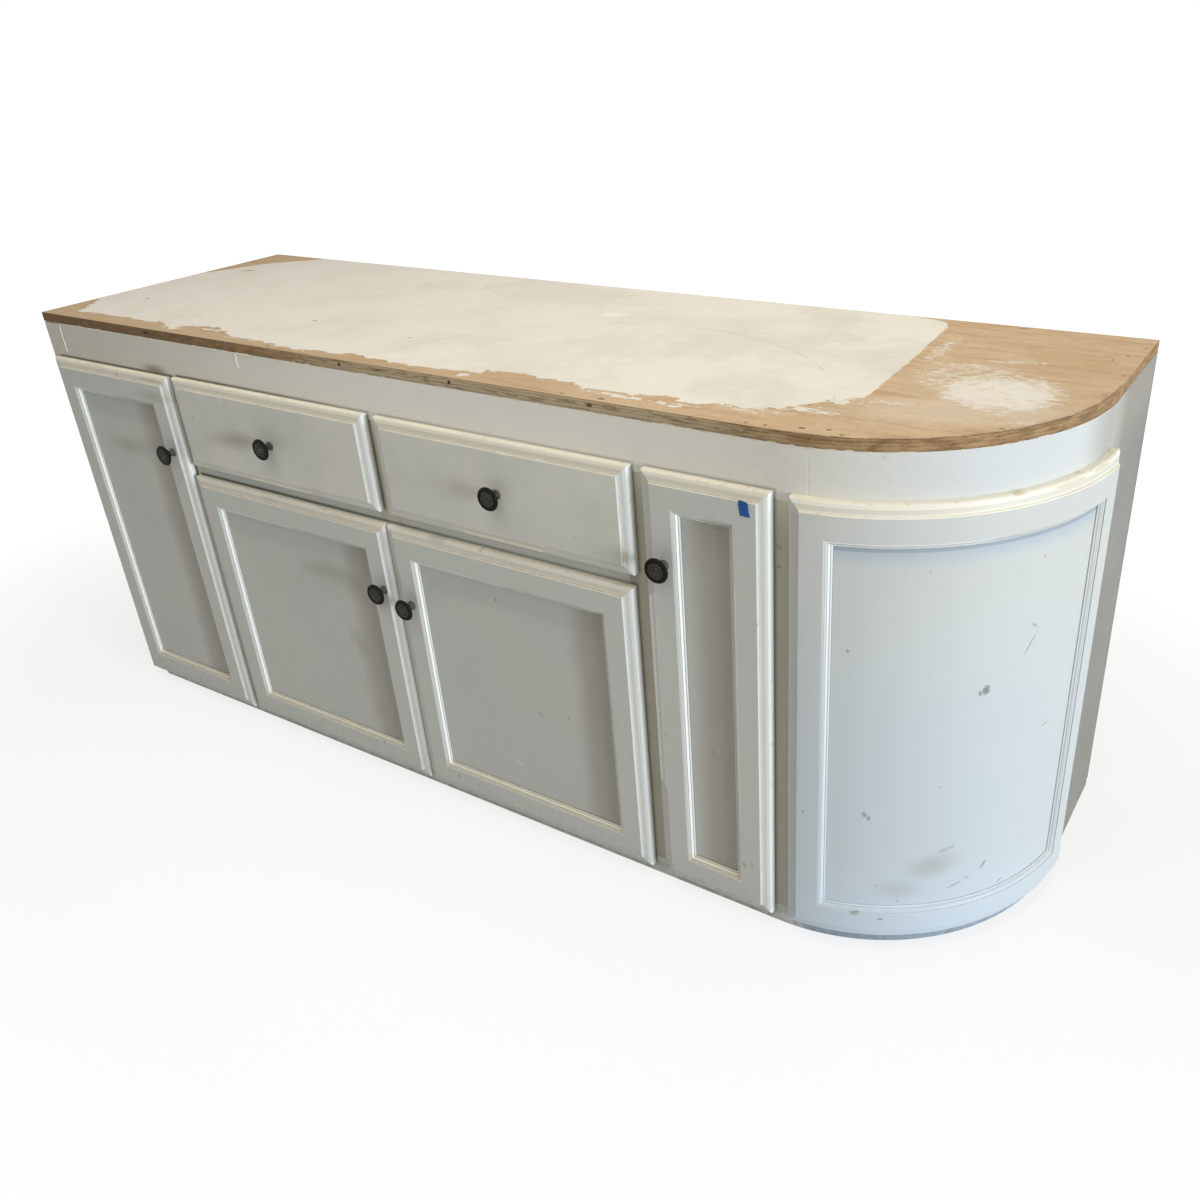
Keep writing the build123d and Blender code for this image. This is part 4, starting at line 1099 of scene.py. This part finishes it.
def tape_scrap(columns=9, rows=13):
    mesh = bmesh.new()
    grid = []
    for row in range(rows):
        line = []
        for column in range(columns):
            x = TAPE_LEFT + (TAPE_RIGHT - TAPE_LEFT) * column / (columns - 1)
            z = TAPE_LOW + (TAPE_HIGH - TAPE_LOW) * row / (rows - 1)
            tear = noise.noise(Vector((x * 400, row * 0.7, 2.0)))
            z += tear * 0.0016 * (row in (0, rows - 1)) + (x - TAPE_LEFT) * -0.06
            x += (TAPE_HIGH - z) * 0.12 - 0.0012 * math.sin(math.pi * row / (rows - 1))
            frayed = noise.noise(Vector((column * 0.6, z * 350, 6.0)))
            x += frayed * 0.0010 * (column in (0, columns - 1))
            drop = max(z - HOLLOW_FROM, 0.0) * 0.35
            curl = max(0, row - rows + 4) ** 2 / 9 * (column / columns) ** 2
            wrinkle = abs(noise.noise(Vector((x * 240, 1.0, z * 180))))
            lift = 0.0003 + 0.0022 * curl + wrinkle * 0.0004
            line.append(mesh.verts.new((x, DOOR_FACE + drop - lift, z)))
        grid.append(line)
    for below, above in zip(grid, grid[1:]):
        for column in range(columns - 1):
            mesh.faces.new((below[column], below[column + 1], above[column + 1], above[column]))
    bmesh.ops.recalc_face_normals(mesh, faces=mesh.faces)
    bmesh.ops.solidify(mesh, geom=mesh.faces[:], thickness=0.00014)
    return mesh


piece("tape_scrap", tape_scrap(), tape_finish(), "door_4")

# %% [markdown]
# ## Crumbs of paint and splinters along the plywood's edge
#
# Where the frame meets the plywood, paint and filler bridged the joint and broke away, so a
# broken line of cream crumbs follows the edge. Between them thin splinters stand off the plies.
# Both are many small lens shapes laid along one path, longer than they are high.

# %% Small lenses along the edge
import random

rng = random.Random(7)
LEFT_END = -1.0495
FRAME_FACE = -0.287
PLY_RADIUS = 0.355
FRONT_RUN = CORNER[0] - LEFT_END
CURVE_RUN = PLY_RADIUS * math.pi / 2
SECTION = [(-0.0002, -0.5), (0.8, -0.35), (1.0, 0.1), (0.7, 0.4), (-0.0002, 0.5)]


def on_edge(run, out):
    """Plan point on the plywood's edge at a distance run from the left corner, moved outwards."""
    if run < FRONT_RUN:
        return (run + LEFT_END, FRAME_FACE - out)
    angle = (run - FRONT_RUN) / PLY_RADIUS
    reach = PLY_RADIUS + out
    return (CORNER[0] + reach * math.sin(angle), CORNER[1] - reach * math.cos(angle))


def strip(mesh, sections):
    """Joins a row of open sections with faces and closes both ends."""
    for first, second in zip(sections, sections[1:]):
        for low in range(len(first) - 1):
            mesh.faces.new((first[low], second[low], second[low + 1], first[low + 1]))
    mesh.faces.new(sections[0])
    mesh.faces.new(sections[-1])


def lens(mesh, run, level, length, height, bulge, tilt=0.0, stations=5):
    """A low lens against the edge, with pointed ends and a ragged outline."""
    sections = []
    for station in range(stations):
        share = station / (stations - 1)
        swell = math.sin(math.pi * (0.12 + 0.76 * share)) * rng.uniform(0.75, 1.15)
        where = run + length * (share - 0.5)
        z = level + tilt * (share - 0.5) * length
        section = []
        for out, rise in SECTION:
            x, y = on_edge(where, bulge * out * swell if out > 0 else out)
            section.append(mesh.verts.new((x, y, z + rise * height * swell)))
        sections.append(section)
    strip(mesh, sections)


def crumb_finish(name, light, dark):
    finish = Finish(name)
    mottled = finish.noise(finish.place, 300.0, 4.0, 0.65)
    colour = finish.mix(finish.step(mottled, 0.35, 0.65), light, dark)
    return finish.finish(colour, 0.8, mottled, 0.0003)


# %% [markdown]
# The crumbs sit right at the joint, denser round the curved end, and the splinters anywhere on
# the edge's height. Both take their sizes from one seeded generator, so that they come out the
# same on each run.

# %% Crumbs and splinters
SPLINTERS = 90
JOINT = 0.8576
crumbs = bmesh.new()
run = 0.02
while run < FRONT_RUN + CURVE_RUN - 0.01:
    chance = 1.0 if run > 1.50 else 0.75
    length = rng.uniform(0.004, 0.026)
    if rng.random() < chance:
        lens(crumbs, run, JOINT + rng.uniform(-0.0008, 0.0012), length,
             rng.uniform(0.0012, 0.0030), rng.uniform(0.0004, 0.0009))
    run += length + rng.uniform(0.002, 0.030)
piece("edge_crumbs", crumbs, crumb_finish("paint crumbs", tone(234, 229, 212), tone(206, 196, 170)),
      "cabinet", smooth=False)
splinters = bmesh.new()
for _ in range(SPLINTERS):
    run = rng.uniform(0.02, FRONT_RUN + CURVE_RUN - 0.03)
    lens(splinters, run, rng.uniform(0.8605, 0.8745), rng.uniform(0.010, 0.050),
         rng.uniform(0.0006, 0.0016), rng.uniform(0.0003, 0.0008), rng.uniform(-0.05, 0.05))
piece("edge_splinters", splinters, crumb_finish("torn veneer", tone(168, 130, 84), tone(92, 66, 40)),
      "cabinet", smooth=False)

# %% [markdown]
# Thin beads of caulk stand on the rail: one down the seam of the left stile, one shaped like a
# hook where a patch ends, and broken ones under the plywood. They show up white because their
# flanks face the window, so they have to be raised pieces and not just paint.

# %% Beads of caulk
HOOK = [(-0.4375 + 0.0012 * math.sin(step), 0.8280 + 0.0028 * step) for step in range(11)]
HOOK += [(-0.4340 + 0.0045 * step, 0.8568 + 0.0006 * math.sin(step * 2)) for step in range(9)]
SEAM = [(-0.9980 + 0.0006 * math.sin(step * 1.7), 0.7930 + 0.0050 * step) for step in range(13)]
UNDER_PLY = [(-955, -905, 0.9), (-895, -815, 1.1), (-745, -700, 0.8), (-565, -448, 1.3),
             (-640, -600, 0.8), (-330, -290, 0.9)]
CAULK_LEVEL = 0.8566


def bead_along(mesh, points, radius):
    """A half round along a path on the rail's face, thinner and thicker as caulk is."""
    sections = []
    for number, (x, z) in enumerate(points):
        before, after = points[max(number - 1, 0)], points[min(number + 1, len(points) - 1)]
        run = Vector((after[0] - before[0], after[1] - before[1])).normalized()
        pinched = 0.4 if number in (0, len(points) - 1) else 1.0
        swell = radius * rng.uniform(0.75, 1.2) * pinched
        section = []
        for step in range(7):
            angle = math.pi * step / 6
            aside, out = swell * math.cos(angle), swell * math.sin(angle) * 0.8
            spot = (x - run.y * aside, FRAME_FACE + 0.0002 - out, z + run.x * aside)
            section.append(mesh.verts.new(spot))
        sections.append(section)
    strip(mesh, sections)


caulk = bmesh.new()
bead_along(caulk, HOOK, 0.0017)
bead_along(caulk, SEAM, 0.0016)
for left, right, radius in UNDER_PLY:
    left, right = left / 1000, right / 1000
    steps = int((right - left) / 0.006)
    path = [(left + (right - left) * step / steps, CAULK_LEVEL + 0.0005 * math.sin(step * 1.3))
            for step in range(steps + 1)]
    bead_along(caulk, path, radius / 1000)
piece("caulk_beads", caulk, crumb_finish("white caulk", tone(250, 249, 242), tone(232, 229, 216)),
      "cabinet")

# %% [markdown]
# ## Floor and sky
#
# The cabinet stands on a plain pale floor. Floor and sky are lifted to white only where the
# camera or a shiny surface looks straight at them, so they put no extra light on the paint. The
# floor keeps the cabinet's shadow close by and fades to plain white further out.

# %% Floor and sky
def seen_directly(tree):
    """1 for what the camera, a mirror or clear glass sees, 0 for light on its way to a surface."""
    path = tree.nodes.new("ShaderNodeLightPath")
    direct, shiny, clear = [Wire(tree, path.outputs[name])
                            for name in ("Is Camera Ray", "Is Glossy Ray", "Is Transmission Ray")]
    return direct.most(shiny).most(clear)


floor_mesh = bmesh.new()
bmesh.ops.create_grid(floor_mesh, x_segments=8, y_segments=8, size=9.0)
floor = object_from("floor", floor_mesh)
pale = Finish("pale floor")
seen = seen_directly(pale.tree)
distant = pale.step(pale.ellipse(pale.x, pale.y, (0.0, 0.0, 1.0, 0.7, 0)), 1.3, 2.6)
floor_colour = pale.mix(seen, tone(196, 196, 194), tone(250, 250, 250))
plug(pale.tree, pale.shader.inputs["Base Color"], floor_colour)
pale.shader.inputs["Roughness"].default_value = 0.9
glow = pale.node("Emission", inputs={"Strength": 1.06})
lifted = seen * (distant * 0.28 + 0.72)
plain = Wire(pale.tree, pale.shader.outputs[0])
whole = pale.node("MixShader", inputs={0: lifted, 1: plain, 2: glow})
plug(pale.tree, pale.tree.nodes["Material Output"].inputs["Surface"], whole)
floor.data.materials.append(pale.material)

world = bpy.data.worlds.new("studio")
bpy.context.scene.world = world
world.use_nodes = True
sky = world.node_tree
backdrop = sky.nodes["Background"]
plug(sky, backdrop.inputs["Strength"], seen_directly(sky) * 0.88 + 0.12)
backdrop.inputs["Color"].default_value = (1.0, 1.0, 1.0, 1.0)
print("floor and sky are set")

# %% [markdown]
# ## Light
#
# A broad cool lamp far to the right stands for a window. It lights the curved end and rakes over
# the long front, so every moulding shows. A warm one overhead lights the top, and a weak one
# above the viewer keeps the front readable.

# %% Lamps
def stand(name, data, place):
    """Puts a lamp or a camera into the scene."""
    made = bpy.data.objects.new(name, data)
    made.location = place
    bpy.context.scene.collection.objects.link(made)
    return made


def lamp(name, place, aim, size, power, colour):
    """A soft lamp that points at a place."""
    data = bpy.data.lights.new(name, "AREA")
    data.shape = "RECTANGLE"
    data.size, data.size_y = size
    data.energy = power
    data.color = colour
    made = stand(name, data, place)
    made.rotation_euler = (Vector(aim) - Vector(place)).to_track_quat("-Z", "Y").to_euler()
    print(name, power, "watts")


lamp("right window", (7.9, -1.75, 1.3), (0.2, -0.2, 0.5), (2.4, 2.0), 440, (0.87, 0.94, 1.0))
lamp("overhead", (0.2, -0.1, 3.4), (0.1, 0.0, 0.9), (3.6, 2.6), 72, (1.0, 0.94, 0.82))
lamp("ceiling light", (1.2, -2.4, 2.7), (0.2, -0.2, 0.6), (1.6, 1.2), 13.5, (1.0, 0.95, 0.86))

# %% [markdown]
# ## The camera at the photograph's angle
#
# The camera's place, turn, focal length and shift were worked out from the cabinet's straight
# edges in the photograph, so that each edge of the model falls on the real one.

# %% The camera
eye = bpy.data.cameras.new("view")
eye.sensor_width = 36.0
eye.lens = 32.768
eye.shift_x = -0.0626
eye.shift_y = -0.0028
camera = stand("view", eye, (1.30939, -1.51259, 1.37478))
camera.rotation_euler = [math.radians(angle) for angle in (61.6287, 2.6758, 32.0576)]
bpy.context.scene.camera = camera
bpy.context.scene.view_settings.view_transform = "Standard"
print("camera at", tuple(camera.location))
